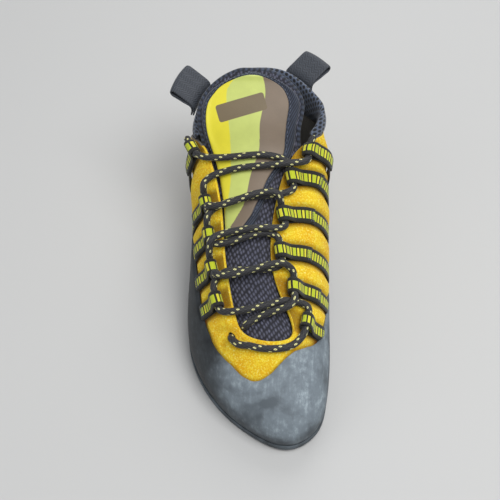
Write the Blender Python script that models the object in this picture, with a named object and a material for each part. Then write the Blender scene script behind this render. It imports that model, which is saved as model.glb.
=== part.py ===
"""Lace-up climbing shoe for the right foot, standing empty on its sole.

The frame is in metres. The origin is on the floor under the centre of the heel, +Z is up, the toe
points to -Y and +X is the medial side, where the big toe is.
"""

import functools
import math

import bpy
import numpy as np

# Driving sizes
LENGTH = 0.250  # outsole, from the back of the heel to the tip of the toe
BALL_WIDTH = 0.095  # outsole, across the ball
INSTEP_HEIGHT = 0.080  # the throat's edge above the floor, on the instep
COLLAR_HEIGHT = 0.100  # the collar's rim above the floor, at the heel
HEEL_BACK = 0.031  # from the origin to the back of the heel

# Thicknesses and clearances
GAP = 0.0003  # between pieces that are glued or sewn face to face
SOLE_THICKNESS = 0.0045
SOLE_LIP = 0.0008  # the outsole stands this far out from the rand
SOLE_BEVEL = 0.0010
RAND_THICKNESS = 0.0018
RAND_SKIVE = 0.015  # share of the rand's height that is skived
RAND_EDGE = 0.55  # share of its thickness that is left at its top edge
LEATHER_THICKNESS = 0.0020
COLLAR_PAD = 0.0045  # foam and mesh of the collar, inside the surface of the last
COLLAR_PUFF = 0.0020  # and outside it
INSOLE_THICKNESS = 0.0025
ARCH_RISE = 0.0030  # the sole's waist above the floor
TOE_SPRING = 0.0025  # the sole's tip above the floor

# Webbing, laces and pull loops
STRAP_WIDTH = 0.0106
STRAP_THICKNESS = 0.0012
STRAP_GAP = 0.0008  # from the webbing to the leather that it is sewn to
STRAP_CORNER_GAP = 0.0014  # the same where the leather turns sharply, at the throat's top
STRAP_OVERLAP = 0.0120  # what is folded back over the strap beyond the lace loop
LACE_DIAMETER = 0.0046
LACE_CLEARANCE = 0.0005
PULL_WIDTH = 0.0240
PULL_REACH = 0.0160
PULL_SEWN = 0.0070  # of it that is sewn to the collar's face
PULL_THICKNESS = 0.0012
PULL_OPENING = 0.0030
PULL_LEAN = math.radians(70)  # how far a pull loop leans out
SLIT_LENGTH = 0.0085
SLIT_WIDTH = 0.0056
BAR_DISTANCE = 0.0042  # of the lace's bar from the throat's edge
STRAND_LIFT = LACE_DIAMETER / 2 + 2 * GAP  # of a strand's middle line over the tongue
STRAND_STIFFNESS = 2.6  # lace diameters that a strand runs on straight out of a loop
LEATHER_SLOPE = 1.7  # lift over the sloping leather, in lifts over a level spot
STRAND_MARGIN = 0.03  # share of the tongue's length before its facing where a strand starts to rise
STRAND_ROUNDS = 60  # of pulling a strand taut
STRAND_START = np.array([0.0050, 0.0030, 0.0030])  # where the first strand starts, off the edge

# Tongue
TONGUE_THICKNESS = 0.0030
FACING_THICKNESS = 0.0022
PANEL_THICKNESS = 0.0008

# Counts of the facets
AROUND = 60
UP_LEATHER = 5
UP_RAND = 4
UP_COLLAR = 6
AROUND_COLLAR = 26
TONGUE_STEPS = 18
STRAP_RUN = 8
SLIT_SIDES = 8
LACE_SIDES = 8
STRAND_STEPS = 8
BAR_STEPS = 7

# Sections of the last from the heel's back along the lateral side to the toe and back along the
# medial side. along and t_along are shares of LENGTH from the heel's back. side, w_out, a_out and
# t_side are shares of BALL_WIDTH, medial positive. along and side place the outsole's edge. w is the
# widest point and a the shoulder or the ankle, each so far out of the edge or of the middle of the
# wall. t is the edge of the throat or the collar's rim. rand and leather are the shares of the wall,
# from the sole up, that the rubber rand and the leather reach.
#  along,   side,  w_out,  w_z,  a_out,  a_z, t_side, t_along, t_z, rand, leather
REAR_LATERAL = (  # heights are shares of COLLAR_HEIGHT
    (0.000, 0.000, 0.021, 0.24, -0.034, 0.66, 0.000, 0.012, 1.00, 0.40, 0.68),  # heel's back
    (0.036, -0.235, 0.026, 0.24, -0.018, 0.66, -0.225, 0.034, 1.00, 0.38, 0.69),
    (0.125, -0.325, 0.042, 0.27, 0.040, 0.68, -0.400, 0.115, 1.00, 0.35, 0.74),
    (0.220, -0.335, 0.085, 0.34, 0.095, 0.71, -0.465, 0.215, 0.92, 0.35, 0.89),  # ankle
)
FRONT = (  # heights are shares of INSTEP_HEIGHT
    (0.300, -0.350, 0.115, 0.47, 0.126, 0.85, -0.385, 0.296, 1.11, 0.38, 1.00),  # throat's top
    (0.392, -0.363, 0.116, 0.45, 0.100, 0.77, -0.297, 0.384, 0.99, 0.43, 1.00),
    (0.480, -0.405, 0.074, 0.40, 0.078, 0.69, -0.250, 0.472, 0.91, 0.50, 1.00),  # waist
    (0.572, -0.452, 0.030, 0.31, 0.032, 0.62, -0.225, 0.564, 0.83, 0.56, 1.00),
    (0.652, -0.468, 0.010, 0.24, 0.016, 0.56, -0.185, 0.650, 0.75, 0.58, 1.00),  # ball
    (0.728, -0.442, 0.008, 0.20, 0.012, 0.52, -0.143, 0.718, 0.69, 0.60, 1.00),
    (0.816, -0.353, 0.008, 0.17, 0.020, 0.47, -0.095, 0.770, 0.65, 0.62, 1.00),
    (0.904, -0.185, 0.008, 0.16, 0.034, 0.43, -0.010, 0.796, 0.64, 0.61, 1.00),
    (0.968, 0.020, 0.008, 0.15, 0.045, 0.42, 0.075, 0.804, 0.64, 0.60, 1.00),
    (1.000, 0.270, 0.008, 0.14, 0.050, 0.42, 0.165, 0.804, 0.64, 0.80, 1.00),  # toe's tip
    (0.952, 0.447, 0.008, 0.15, 0.045, 0.44, 0.250, 0.794, 0.65, 0.87, 1.00),
    (0.860, 0.516, 0.010, 0.18, 0.028, 0.50, 0.270, 0.758, 0.68, 0.72, 1.00),
    (0.760, 0.530, 0.010, 0.24, 0.030, 0.58, 0.210, 0.704, 0.73, 0.50, 1.00),  # ball
    (0.660, 0.500, 0.034, 0.36, 0.065, 0.67, 0.135, 0.632, 0.79, 0.38, 1.00),
    (0.560, 0.442, 0.090, 0.49, 0.105, 0.77, 0.108, 0.544, 0.86, 0.33, 1.00),  # waist
    (0.460, 0.374, 0.155, 0.61, 0.145, 0.87, 0.128, 0.452, 0.94, 0.30, 1.00),
    (0.368, 0.332, 0.195, 0.70, 0.160, 0.97, 0.178, 0.364, 1.03, 0.28, 1.00),
    (0.288, 0.320, 0.185, 0.71, 0.165, 1.05, 0.285, 0.284, 1.12, 0.29, 0.99),  # throat's top
)
REAR_MEDIAL = (  # heights are shares of COLLAR_HEIGHT
    (0.205, 0.316, 0.126, 0.45, 0.095, 0.77, 0.450, 0.205, 1.00, 0.32, 0.87),  # ankle
    (0.120, 0.310, 0.063, 0.30, 0.040, 0.70, 0.405, 0.125, 1.01, 0.35, 0.76),
    (0.036, 0.232, 0.026, 0.24, -0.014, 0.66, 0.220, 0.036, 1.00, 0.38, 0.69),
)

# Tongue, shares of LENGTH along the shoe. Under the vamp and above the throat its sections give the
# place of their middle, half width and how far their edges hang below the middle, in shares of
# BALL_WIDTH, INSTEP_HEIGHT, BALL_WIDTH and BALL_WIDTH. In the throat its edges are tucked under the
# leather, and the sections give how far the middle stands over them, in shares of BALL_WIDTH.
#  along,  side, height,  half,  drop
TONGUE_FOOT = (
    (0.880, 0.085, 0.450, 0.125, 0.035),
    (0.832, 0.105, 0.535, 0.160, 0.045),
)
TONGUE_THROAT = (
    (0.780, 0.036),
    (0.715, 0.048),
    (0.630, 0.055),
    (0.540, 0.058),
    (0.450, 0.060),
    (0.375, 0.064),
    (0.306, 0.070),
)
TONGUE_FREE = (
    (0.250, -0.070, 1.310, 0.350, 0.046),
    (0.196, -0.055, 1.455, 0.395, 0.036),
    (0.138, -0.048, 1.610, 0.380, 0.040),
)
TONGUE_ROUND_TOP = 0.80  # share of the tongue's length where its end starts to round off
TONGUE_ROUND_FOOT = 0.06
TONGUE_TIP = 0.992
TONGUE_TUCK = 0.0040  # how far its edges reach under the leather
TONGUE_GAP = 0.0016  # and how far they lie below it
# The padded facing on the tongue and the panel on the facing: share of the tongue's length and the
# left and right edges in half widths.
FACING_ROWS = (
    (0.44, -0.42, -0.10),
    (0.50, -0.66, 0.22),
    (0.58, -0.68, 0.46),
    (0.66, -0.70, 0.62),
    (0.72, -0.80, 0.78),
    (0.80, -0.94, 0.93),
    (0.94, -0.95, 0.95),
    (0.98, -0.90, 0.90),
)
PANEL_ROWS = (
    (0.46, -0.40, -0.18),
    (0.52, -0.60, 0.10),
    (0.60, -0.61, 0.34),
    (0.67, -0.64, 0.50),
    (0.74, -0.74, 0.64),
    (0.82, -0.84, 0.73),
    (0.90, -0.83, 0.72),
    (0.96, -0.66, 0.52),
)

# Lace loops from the toe up. top and foot are shares of LENGTH from the heel's back, where the strap
# meets the throat and the rand, and edge is the share of the strap's width from the throat's edge
# to the loop's end.
#  top,   foot,  edge
LACE_LOOPS = {
    "medial": (
        (0.742, 0.748, 0.50),
        (0.666, 0.648, 0.45),
        (0.576, 0.548, 0.15),
        (0.478, 0.440, 0.22),
        (0.374, 0.336, 0.25),
        (0.293, 0.286, 0.34),
    ),
    "lateral": (
        (0.688, 0.696, 0.36),
        (0.604, 0.610, 0.34),
        (0.516, 0.520, 0.36),
        (0.424, 0.426, 0.40),
        (0.276, 0.312, 0.10),
    ),
}
THROAT_CORNER = 0.320  # share of LENGTH: where the throat's edge starts to turn to the collar
SLIT_PLACE = (0.785, 0.86)  # along the shoe, and up the wall: where the lace starts
COLLAR_FRONT = {"medial": 0.250, "lateral": 0.250}  # where the collar's band ends, along the shoe
PULL_PLACES = {"medial": 0.050, "lateral": 0.126}  # middles of the pull loops, along the shoe

MATERIALS = {
    # name: (red, green, blue, roughness)
    "rubber": (0.028, 0.032, 0.038, 0.62),
    "sole_rubber": (0.018, 0.019, 0.021, 0.70),
    "suede": (0.860, 0.500, 0.012, 0.90),
    "mesh": (0.018, 0.020, 0.030, 0.85),
    "facing": (0.025, 0.030, 0.042, 0.80),
    "panel": (0.720, 0.700, 0.120, 0.75),
    "insole": (0.060, 0.060, 0.065, 0.90),
    "webbing": (0.030, 0.030, 0.026, 0.80),
    "lace": (0.022, 0.022, 0.024, 0.80),
    "tape": (0.028, 0.032, 0.042, 0.80),
}


def clear_scene():
    """Empties the scene that the script is run in."""
    for obj in list(bpy.data.objects):
        bpy.data.objects.remove(obj)


@functools.lru_cache(maxsize=None)
def material(name):
    """The plain material of that name."""
    red, green, blue, roughness = MATERIALS[name]
    made = bpy.data.materials.new(name)
    made.use_nodes = True
    shader = made.node_tree.nodes["Principled BSDF"]
    shader.inputs["Base Color"].default_value = (red, green, blue, 1.0)
    shader.inputs["Roughness"].default_value = roughness
    return made


def add_object(name, points, faces, finish):
    """A named object from points and faces, shaded smooth apart from its edges."""
    mesh = bpy.data.meshes.new(name)
    mesh.from_pydata([tuple(map(float, point)) for point in points], [], faces)
    mesh.validate()
    mesh.shade_smooth()
    mesh.set_sharp_from_angle(angle=math.radians(40))
    mesh.materials.append(material(finish))
    obj = bpy.data.objects.new(name, mesh)
    bpy.context.scene.collection.objects.link(obj)
    return obj


def second_slopes(knots, values, period=None):
    """Second derivatives of a cubic spline at its knots: natural, or periodic with that period."""
    count = len(knots)
    steps = np.diff(knots)
    if period is not None:
        steps = np.append(steps, period - knots[-1] + knots[0])
    matrix = np.eye(count)
    right = np.zeros((count, values.shape[1]))
    inside = range(count) if period is not None else range(1, count - 1)
    for i in inside:
        before, after = steps[i - 1], steps[i]
        j, k = (i - 1) % count, (i + 1) % count
        matrix[i] = 0.0
        matrix[i, j] += before
        matrix[i, i] += 2 * (before + after)
        matrix[i, k] += after
        right[i] = 6 * ((values[k] - values[i]) / after - (values[i] - values[j]) / before)
    return np.linalg.solve(matrix, right)


class Spline:
    """A smooth curve through rows of values, open or closed."""

    def __init__(self, knots, values, period=None):
        self.knots = np.asarray(knots, float)
        self.values = np.asarray(values, float)
        self.period = period
        self.slopes = second_slopes(self.knots, self.values, period)

    def at(self, place):
        """The row at that place along the curve."""
        count = len(self.knots)
        if self.period is None:
            place = min(max(place, self.knots[0]), self.knots[-1])
            i = min(int(np.searchsorted(self.knots, place, side="right")) - 1, count - 2)
            k, end = i + 1, self.knots[i + 1]
        else:
            place = (place - self.knots[0]) % self.period + self.knots[0]
            i = int(np.searchsorted(self.knots, place, side="right")) - 1
            k = (i + 1) % count
            end = self.knots[k] if k else self.knots[0] + self.period
        step = end - self.knots[i]
        rest, done = (end - place) / step, (place - self.knots[i]) / step
        bend = (rest**3 - rest) * self.slopes[i] + (done**3 - done) * self.slopes[k]
        return rest * self.values[i] + done * self.values[k] + bend * step * step / 6


def chord_knots(points, closed=False):
    """Places of the points along the line through them. A closed line is scaled to a length of 1."""
    ends = np.vstack([points, points[:1]]) if closed else points
    lengths = np.concatenate([[0.0], np.cumsum(np.linalg.norm(np.diff(ends, axis=0), axis=1))])
    return lengths[:-1] / lengths[-1] if closed else lengths


def unit(vector):
    """The vector with a length of 1."""
    return vector / max(np.linalg.norm(vector), 1e-12)


def smooth_step(value, low, high):
    """0 below low, 1 above high and a soft S between."""
    share = min(max((value - low) / (high - low), 0.0), 1.0)
    return share * share * (3 - 2 * share)


def sole_rise(y):
    """Height of the outsole's underside above the floor at a place along the shoe."""
    along = (HEEL_BACK - y) / LENGTH
    arch = smooth_step(along, 0.26, 0.40) * (1 - smooth_step(along, 0.46, 0.62))
    tip = smooth_step(along, 0.90, 1.04)
    return ARCH_RISE * arch + TOE_SPRING * tip


def sections():
    """The sections of the last in metres: x and y of the sole's edge, then the other columns."""
    rows = []
    for table, height in (
        (REAR_LATERAL, COLLAR_HEIGHT),
        (FRONT, INSTEP_HEIGHT),
        (REAR_MEDIAL, COLLAR_HEIGHT),
    ):
        for along, side, w_out, w_z, a_out, a_z, t_side, t_along, t_z, rand, leather in table:
            rows.append(
                (
                    side * BALL_WIDTH,
                    HEEL_BACK - along * LENGTH,
                    w_out * BALL_WIDTH,
                    w_z * height,
                    a_out * BALL_WIDTH,
                    a_z * height,
                    t_side * BALL_WIDTH,
                    HEEL_BACK - t_along * LENGTH,
                    t_z * height,
                    rand,
                    leather,
                )
            )
    return np.array(rows)


SECTIONS = sections()
LAST = Spline(chord_knots(SECTIONS[:, :2], closed=True), SECTIONS, period=1.0)
PROFILE_SAMPLES = 60
SMALL = 0.002  # step round the shoe or up the wall for slopes


def outline(place, inset=0.0):
    """Plan point of the outsole's edge, moved in by inset, and the outward direction there."""
    here = LAST.at(place)[:2]
    travel = unit(LAST.at(place + SMALL)[:2] - LAST.at(place - SMALL)[:2])
    outward = np.array([travel[1], -travel[0]])
    return here - outward * inset, outward


@functools.lru_cache(maxsize=None)
def profile(place):
    """The last's wall at one place round the shoe: its points and their lengths from the sole."""
    row = LAST.at(place)
    edge, outward = outline(place, SOLE_LIP + RAND_THICKNESS + GAP)
    top = row[6:8]
    foot = sole_rise(edge[1]) + SOLE_THICKNESS + GAP
    widest = edge + outward * row[2]
    shoulder = (edge + top) / 2 + outward * row[4]
    knots = np.array(
        [
            (*edge, foot),
            (*widest, row[3]),
            (*shoulder, row[5]),
            (*top, row[8]),
        ]
    )
    curve = Spline(chord_knots(knots), knots)
    points = np.array([curve.at(t) for t in np.linspace(0, curve.knots[-1], PROFILE_SAMPLES)])
    return points, chord_knots(points)


def skin(place, up):
    """Point of the last's surface at a place round the shoe and a share of the wall's length."""
    points, lengths = profile(round(place % 1.0, 6))
    goal = min(max(up, 0.0), 1.0) * lengths[-1]
    return np.array([np.interp(goal, lengths, points[:, axis]) for axis in range(3)])


def slopes(place, up):
    """Directions round the shoe and up the wall, with their lengths for a unit step."""
    low, high = max(up - 2 * SMALL, 0.0), min(up + 2 * SMALL, 1.0)
    around = (skin(place + SMALL, up) - skin(place - SMALL, up)) / (2 * SMALL)
    upward = (skin(place, high) - skin(place, low)) / (high - low)
    return around, upward


def offset(place, up, out):
    """Point at a distance out of the last's surface."""
    around, upward = slopes(place, up)
    return skin(place, up) + unit(np.cross(around, upward)) * out


def wall_length(place):
    """Length of the wall from the sole's edge to the throat's edge or the collar's rim."""
    return profile(round(place % 1.0, 6))[1][-1]


def rand_top(place):
    """Share of the wall that the rubber rand covers."""
    return LAST.at(place)[9]


def leather_top(place):
    """Share of the wall that the leather covers."""
    return min(LAST.at(place)[10], 1.0)


def shell(name, outer, inner, finish, closed):
    """One solid between two grids of points. Rows run round the shoe and columns up the wall."""
    rows, columns = len(outer), len(outer[0])
    points = [p for row in outer for p in row] + [p for row in inner for p in row]
    far = rows * columns

    def at(i, j):
        return (i % rows) * columns + j

    faces = []
    for i in range(rows if closed else rows - 1):
        for j in range(columns - 1):
            quad = (at(i, j), at(i + 1, j), at(i + 1, j + 1), at(i, j + 1))
            faces.append(quad)
            faces.append(tuple(far + quad[k] for k in (0, 3, 2, 1)))
        for j, turn in ((0, 1), (columns - 1, -1)):
            rim = (at(i, j), far + at(i, j), far + at(i + 1, j), at(i + 1, j))
            faces.append(rim[::turn])
    if not closed:
        for i, turn in ((0, 1), (rows - 1, -1)):
            for j in range(columns - 1):
                end = (at(i, j), at(i, j + 1), far + at(i, j + 1), far + at(i, j))
                faces.append(end[::turn])
    return add_object(name, points, faces, finish)


def slab(name, bottom, top, finish):
    """One solid between stacked outlines. Each cap is a ladder of faces across the outline."""
    rings = [*bottom, *top]
    count = len(rings[0])
    points = [p for ring in rings for p in ring]
    faces = []
    for level in range(len(rings) - 1):
        for i in range(count):
            k = (i + 1) % count
            low, high = level * count, (level + 1) * count
            faces.append((low + i, low + k, high + k, high + i))
    last = (len(rings) - 1) * count
    for i in range(count // 2):
        near, far = i + 1, (count - i - 1) % count
        corners = [i, near, far, (count - i) % count]
        corners = list(dict.fromkeys(corners))
        if len(corners) > 2:
            faces.append(tuple(reversed(corners)))
            faces.append(tuple(last + corner for corner in corners))
    return add_object(name, points, faces, finish)


def places_round(count):
    """Evenly spaced places all the way round the shoe, from the heel's back."""
    return [i / count for i in range(count)]


def ring(inset, lift):
    """An outline of the sole moved in by inset, at a height above the sole's underside."""
    made = []
    for place in places_round(AROUND):
        point, _ = outline(place, inset)
        made.append((point[0], point[1], sole_rise(point[1]) + lift))
    return made


def place_along(share, side, up=None):
    """Place round the shoe, on one side, where a line up the wall is so far along the shoe.

    The line is at that share of the wall, or at the top of the rand where up is left out.
    """
    toe = float(LAST.knots[int(np.argmin(SECTIONS[:, 1]))])
    low, high = (0.0, toe) if side == "lateral" else (toe, 1.0)
    goal = HEEL_BACK - share * LENGTH
    for _ in range(30):
        middle = (low + high) / 2
        here = skin(middle, rand_top(middle) if up is None else up)[1]
        if (here < goal) == (side == "lateral"):
            high = middle
        else:
            low = middle
    return (low + high) / 2


def build_outsole():
    """Smooth climbing rubber cut to the outline, with softened edges."""
    slab(
        "outsole",
        [ring(SOLE_BEVEL, 0.0), ring(0.0, SOLE_BEVEL)],
        [ring(0.0, SOLE_THICKNESS - SOLE_BEVEL / 2), ring(SOLE_BEVEL / 2, SOLE_THICKNESS)],
        "sole_rubber",
    )


def build_insole():
    """Footbed that lies on the outsole inside the upper."""
    inset = SOLE_LIP + RAND_THICKNESS + GAP + LEATHER_THICKNESS + 2 * GAP
    low = SOLE_THICKNESS + GAP
    slab(
        "insole",
        [ring(inset, low)],
        [ring(inset, low + INSOLE_THICKNESS / 2), ring(inset + GAP, low + INSOLE_THICKNESS)],
        "insole",
    )


def rand_steps(place):
    """Shares of the wall at which the rand and the leather under it have their rows of facets."""
    top = rand_top(place)
    return [top * j / UP_RAND for j in range(UP_RAND)] + [top * (1 - RAND_SKIVE), top]


def build_rand():
    """Rubber rand glued round the upper, high over the toes, with its top edge skived."""
    outer, inner = [], []
    outs = [RAND_THICKNESS] * (UP_RAND + 1) + [RAND_THICKNESS * RAND_EDGE]
    for place in places_round(AROUND):
        ups = rand_steps(place)
        outer.append([offset(place, up, GAP + out) for up, out in zip(ups, outs)])
        inner.append([offset(place, up, GAP) for up in ups])
        for row in (outer[-1], inner[-1]):
            row[0][2] = skin(place, 0.0)[2]
    shell("rand", outer, inner, "rubber", closed=True)


def build_upper():
    """Leather upper: one hollow wall, open along the throat and the collar and under the foot."""
    outer, inner = [], []
    for place in places_round(AROUND):
        low, high = rand_top(place), leather_top(place)
        ups = rand_steps(place)
        ups += [low + (high - low) * j / UP_LEATHER for j in range(1, UP_LEATHER + 1)]
        outer.append([skin(place, up) for up in ups])
        inner.append([offset(place, up, -LEATHER_THICKNESS) for up in ups])
        inner[-1][0][2] = outer[-1][0][2]
    upper = shell("upper", outer, inner, "suede", closed=True)
    cut_slit(upper)


def slit_spot():
    """Place round the shoe and share of the wall of the slit that the lace comes out of."""
    return place_along(SLIT_PLACE[0], "lateral", up=SLIT_PLACE[1]), SLIT_PLACE[1]


def cut_slit(upper):
    """Cuts the lace's slit through the leather."""
    place, up = slit_spot()
    around, upward = (unit(v) for v in slopes(place, up))
    outward = np.cross(around, upward)
    corners = []
    for depth in (-2 * LEATHER_THICKNESS, 2 * LEATHER_THICKNESS):
        for turn in range(SLIT_SIDES):
            angle = 2 * math.pi * turn / SLIT_SIDES
            along = around * math.cos(angle) * SLIT_LENGTH / 2
            across = upward * math.sin(angle) * SLIT_WIDTH / 2
            corners.append(skin(place, up) + along + across + outward * depth)
    ends = [tuple(range(SLIT_SIDES - 1, -1, -1)), tuple(range(SLIT_SIDES, 2 * SLIT_SIDES))]
    sides = []
    for i in range(SLIT_SIDES):
        k = (i + 1) % SLIT_SIDES
        sides.append((i, k, SLIT_SIDES + k, SLIT_SIDES + i))
    cutter = add_object("slit_cutter", corners, sides + ends, "suede")
    hide(cutter)
    combine(upper, cutter, "DIFFERENCE")


def hide(tool):
    """Marks an object as one that only cuts or joins."""
    tool.hide_render = True
    tool.display_type = "WIRE"


def combine(target, tool, operation):
    """Gives an object a Boolean with another."""
    modifier = target.modifiers.new(operation.lower(), "BOOLEAN")
    modifier.operation = operation
    modifier.object = tool


def collar_puff(share):
    """How far the collar's face stands out of the last, at a share of the band's height."""
    return COLLAR_PUFF * math.sqrt(max(0.0, 1 - share**4)) * math.sin(math.pi * (share + 0.3) / 1.3)


def collar_low(place):
    """Share of the wall where the collar's band starts, just above the leather."""
    return leather_top(place) + 2.5 * GAP / wall_length(place)


def build_collar():
    """Padded mesh collar round the ankle, above the leather, with a rounded rim."""
    first = place_along(COLLAR_FRONT["medial"], "medial", up=1.0) - 1.0
    last = place_along(COLLAR_FRONT["lateral"], "lateral", up=1.0)
    outer, inner = [], []
    for i in range(AROUND_COLLAR + 1):
        place = first + (last - first) * i / AROUND_COLLAR
        low = collar_low(place)
        fade = min(1.0, 0.3 + 6 * min(i, AROUND_COLLAR - i) / AROUND_COLLAR)
        outer_row, inner_row = [], []
        for j in range(UP_COLLAR + 1):
            share = math.sin(0.5 * math.pi * j / UP_COLLAR)
            up = low + (1.0 - low) * share
            swell = math.sqrt(max(0.0, 1 - share**4))
            pad = COLLAR_PAD * (0.45 + 0.55 * min(1.0, 3 * share)) * (0.2 + 0.8 * swell)
            outer_row.append(offset(place, up, collar_puff(share) * fade))
            inner_row.append(offset(place, up, -pad * (0.6 + 0.4 * fade)))
        outer.append(outer_row)
        inner.append(inner_row)
    shell("collar", outer, inner, "mesh", closed=False)


def ribbon(name, path, width, thickness, spot, finish):
    """Webbing of one width along a path drawn side on. spot takes x, y and a step across."""
    outer, inner = [], []
    for i, here in enumerate(path):
        before, after = path[max(i - 1, 0)], path[min(i + 1, len(path) - 1)]
        step = unit(np.subtract(after, before))
        lean = np.array([step[1], -step[0]]) * thickness / 2
        high, low = here + lean, here - lean
        outer.append([spot(*high, share * width) for share in (0.5, 0.0, -0.5)])
        inner.append([spot(*low, share * width) for share in (0.5, 0.0, -0.5)])
    shell(name, outer, inner, finish, closed=False)


class LaceLoop:
    """A strap of webbing up the shoe's side, folded back on itself to carry the lace."""

    radius = LACE_DIAMETER / 2 + LACE_CLEARANCE + STRAP_THICKNESS / 2

    def __init__(self, side, number):
        top, foot, edge = LACE_LOOPS[side][number - 1]
        self.name = f"lace_loop_{side}_{number}"
        self.side = side
        self.edge = edge * STRAP_WIDTH
        gap = STRAP_CORNER_GAP if top < THROAT_CORNER else STRAP_GAP
        self.base = gap + STRAP_THICKNESS / 2
        start = place_along(foot, side)
        ends = np.array([(start, rand_top(start)), (place_along(top, side, up=1.0), 1.0)])
        shares = np.linspace(1.0, 0.0, 30)
        self.line = np.array([ends[0] + (ends[1] - ends[0]) * share for share in shares])
        self.distances = chord_knots(np.array([skin(*spot) for spot in self.line]))

    def spot(self, distance, height, across):
        """Point over the leather: so far from the throat's edge, so high and so far across."""
        place, up = (np.interp(distance, self.distances, self.line[:, axis]) for axis in (0, 1))
        around, upward = slopes(place, up)
        travel = around * (self.line[0, 0] - self.line[-1, 0]) + upward * (1 - self.line[-1, 1])
        sideways = unit(np.cross(travel, np.cross(around, upward)))
        grid = np.column_stack([around, upward])
        steps = np.linalg.lstsq(grid, sideways * across, rcond=None)[0]
        place += steps[0]
        lowest = rand_top(place) + 2 * GAP / wall_length(place)
        return offset(place, max(up + steps[1], lowest), height)

    def path(self):
        """The webbing's middle line as distances from the throat's edge and heights."""
        run = self.distances[-1]
        turn = self.edge + self.radius
        points = [(run + (turn - run) * i / STRAP_RUN, self.base) for i in range(STRAP_RUN + 1)]
        for i in range(1, 6):
            angle = math.pi * i / 5
            lift = self.radius * (1 - math.cos(angle))
            points.append((turn - self.radius * math.sin(angle), self.base + lift))
        high = self.base + STRAP_THICKNESS + 1.5 * GAP
        reach = min(2.6 * self.radius, 0.5 * (run - turn))
        for share in (0.35, 0.70, 1.0):
            fall = smooth_step(share, 0.0, 1.0) * (self.base + 2 * self.radius - high)
            points.append((turn + reach * share, self.base + 2 * self.radius - fall))
        tail = min(turn + reach + STRAP_OVERLAP, run - 2 * GAP)
        points.append(((turn + reach + tail) / 2, high))
        points.append((tail, high))
        return np.array(points)

    def build(self):
        """The strap's solid."""
        ribbon(self.name, self.path(), STRAP_WIDTH, STRAP_THICKNESS, self.spot, "webbing")

    def mouth(self, heelward):
        """Middle of the loop's mouth towards the heel or the toe, and the direction out of it."""
        distance, height = self.edge + self.radius, self.base + self.radius
        turn = 1 if (self.side == "medial") == heelward else -1
        across = turn * (STRAP_WIDTH / 2 + 2 * GAP)
        near = self.spot(distance, height, across)
        return near, unit(self.spot(distance, height, 1.3 * across) - near)


def build_pull_loop(side):
    """Webbing tab sewn to the collar's rim to pull the shoe on by."""
    place = place_along(PULL_PLACES[side], side, up=1.0)
    around, upward = slopes(place, 1.0)
    outward = unit(np.cross(around, upward))
    upward = unit(upward)
    low = collar_low(place)

    def spot(out, up, across):
        """Point so far out of the collar's face and above its rim."""
        beside = place + across / np.linalg.norm(around)
        if up >= 0:
            return skin(beside, 1.0) + outward * out + upward * up
        share = 1.0 + up / (wall_length(place) * (1 - low))
        face = collar_puff(share)
        return offset(beside, 1.0 + up / wall_length(beside), face + out)

    middle = GAP + PULL_THICKNESS * 1.5
    centre, heading = np.array([middle + 2 * GAP, -PULL_SEWN]), 0.0
    line = [(centre, heading)]
    steps = 7
    for i in range(steps):
        heading = PULL_LEAN * smooth_step(i + 1, 1, 4)
        stride = (PULL_REACH + PULL_SEWN) / steps
        centre = centre + stride * np.array([math.sin(heading), math.cos(heading)])
        line.append((centre, heading))
    near, far = [], []
    for i, (centre, heading) in enumerate(line):
        half = (PULL_THICKNESS + GAP) / 2 + (PULL_OPENING / 2) * smooth_step(i, 2, steps)
        across = np.array([math.cos(heading), -math.sin(heading)]) * half
        near.append(centre - across)
        far.append(centre + across)
    tip, heading = line[-1]
    half = (PULL_THICKNESS + GAP + PULL_OPENING) / 2
    along = np.array([math.sin(heading), math.cos(heading)]) * half
    across = np.array([math.cos(heading), -math.sin(heading)]) * half
    fold = []
    for angle in (math.radians(45), math.radians(90), math.radians(135)):
        fold.append(tip - across * math.cos(angle) + along * math.sin(angle))
    path = np.array(near + fold + far[::-1])
    name = f"pull_loop_{side}"
    ribbon(name, path[::-1], PULL_WIDTH, PULL_THICKNESS, spot, "tape")


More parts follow.
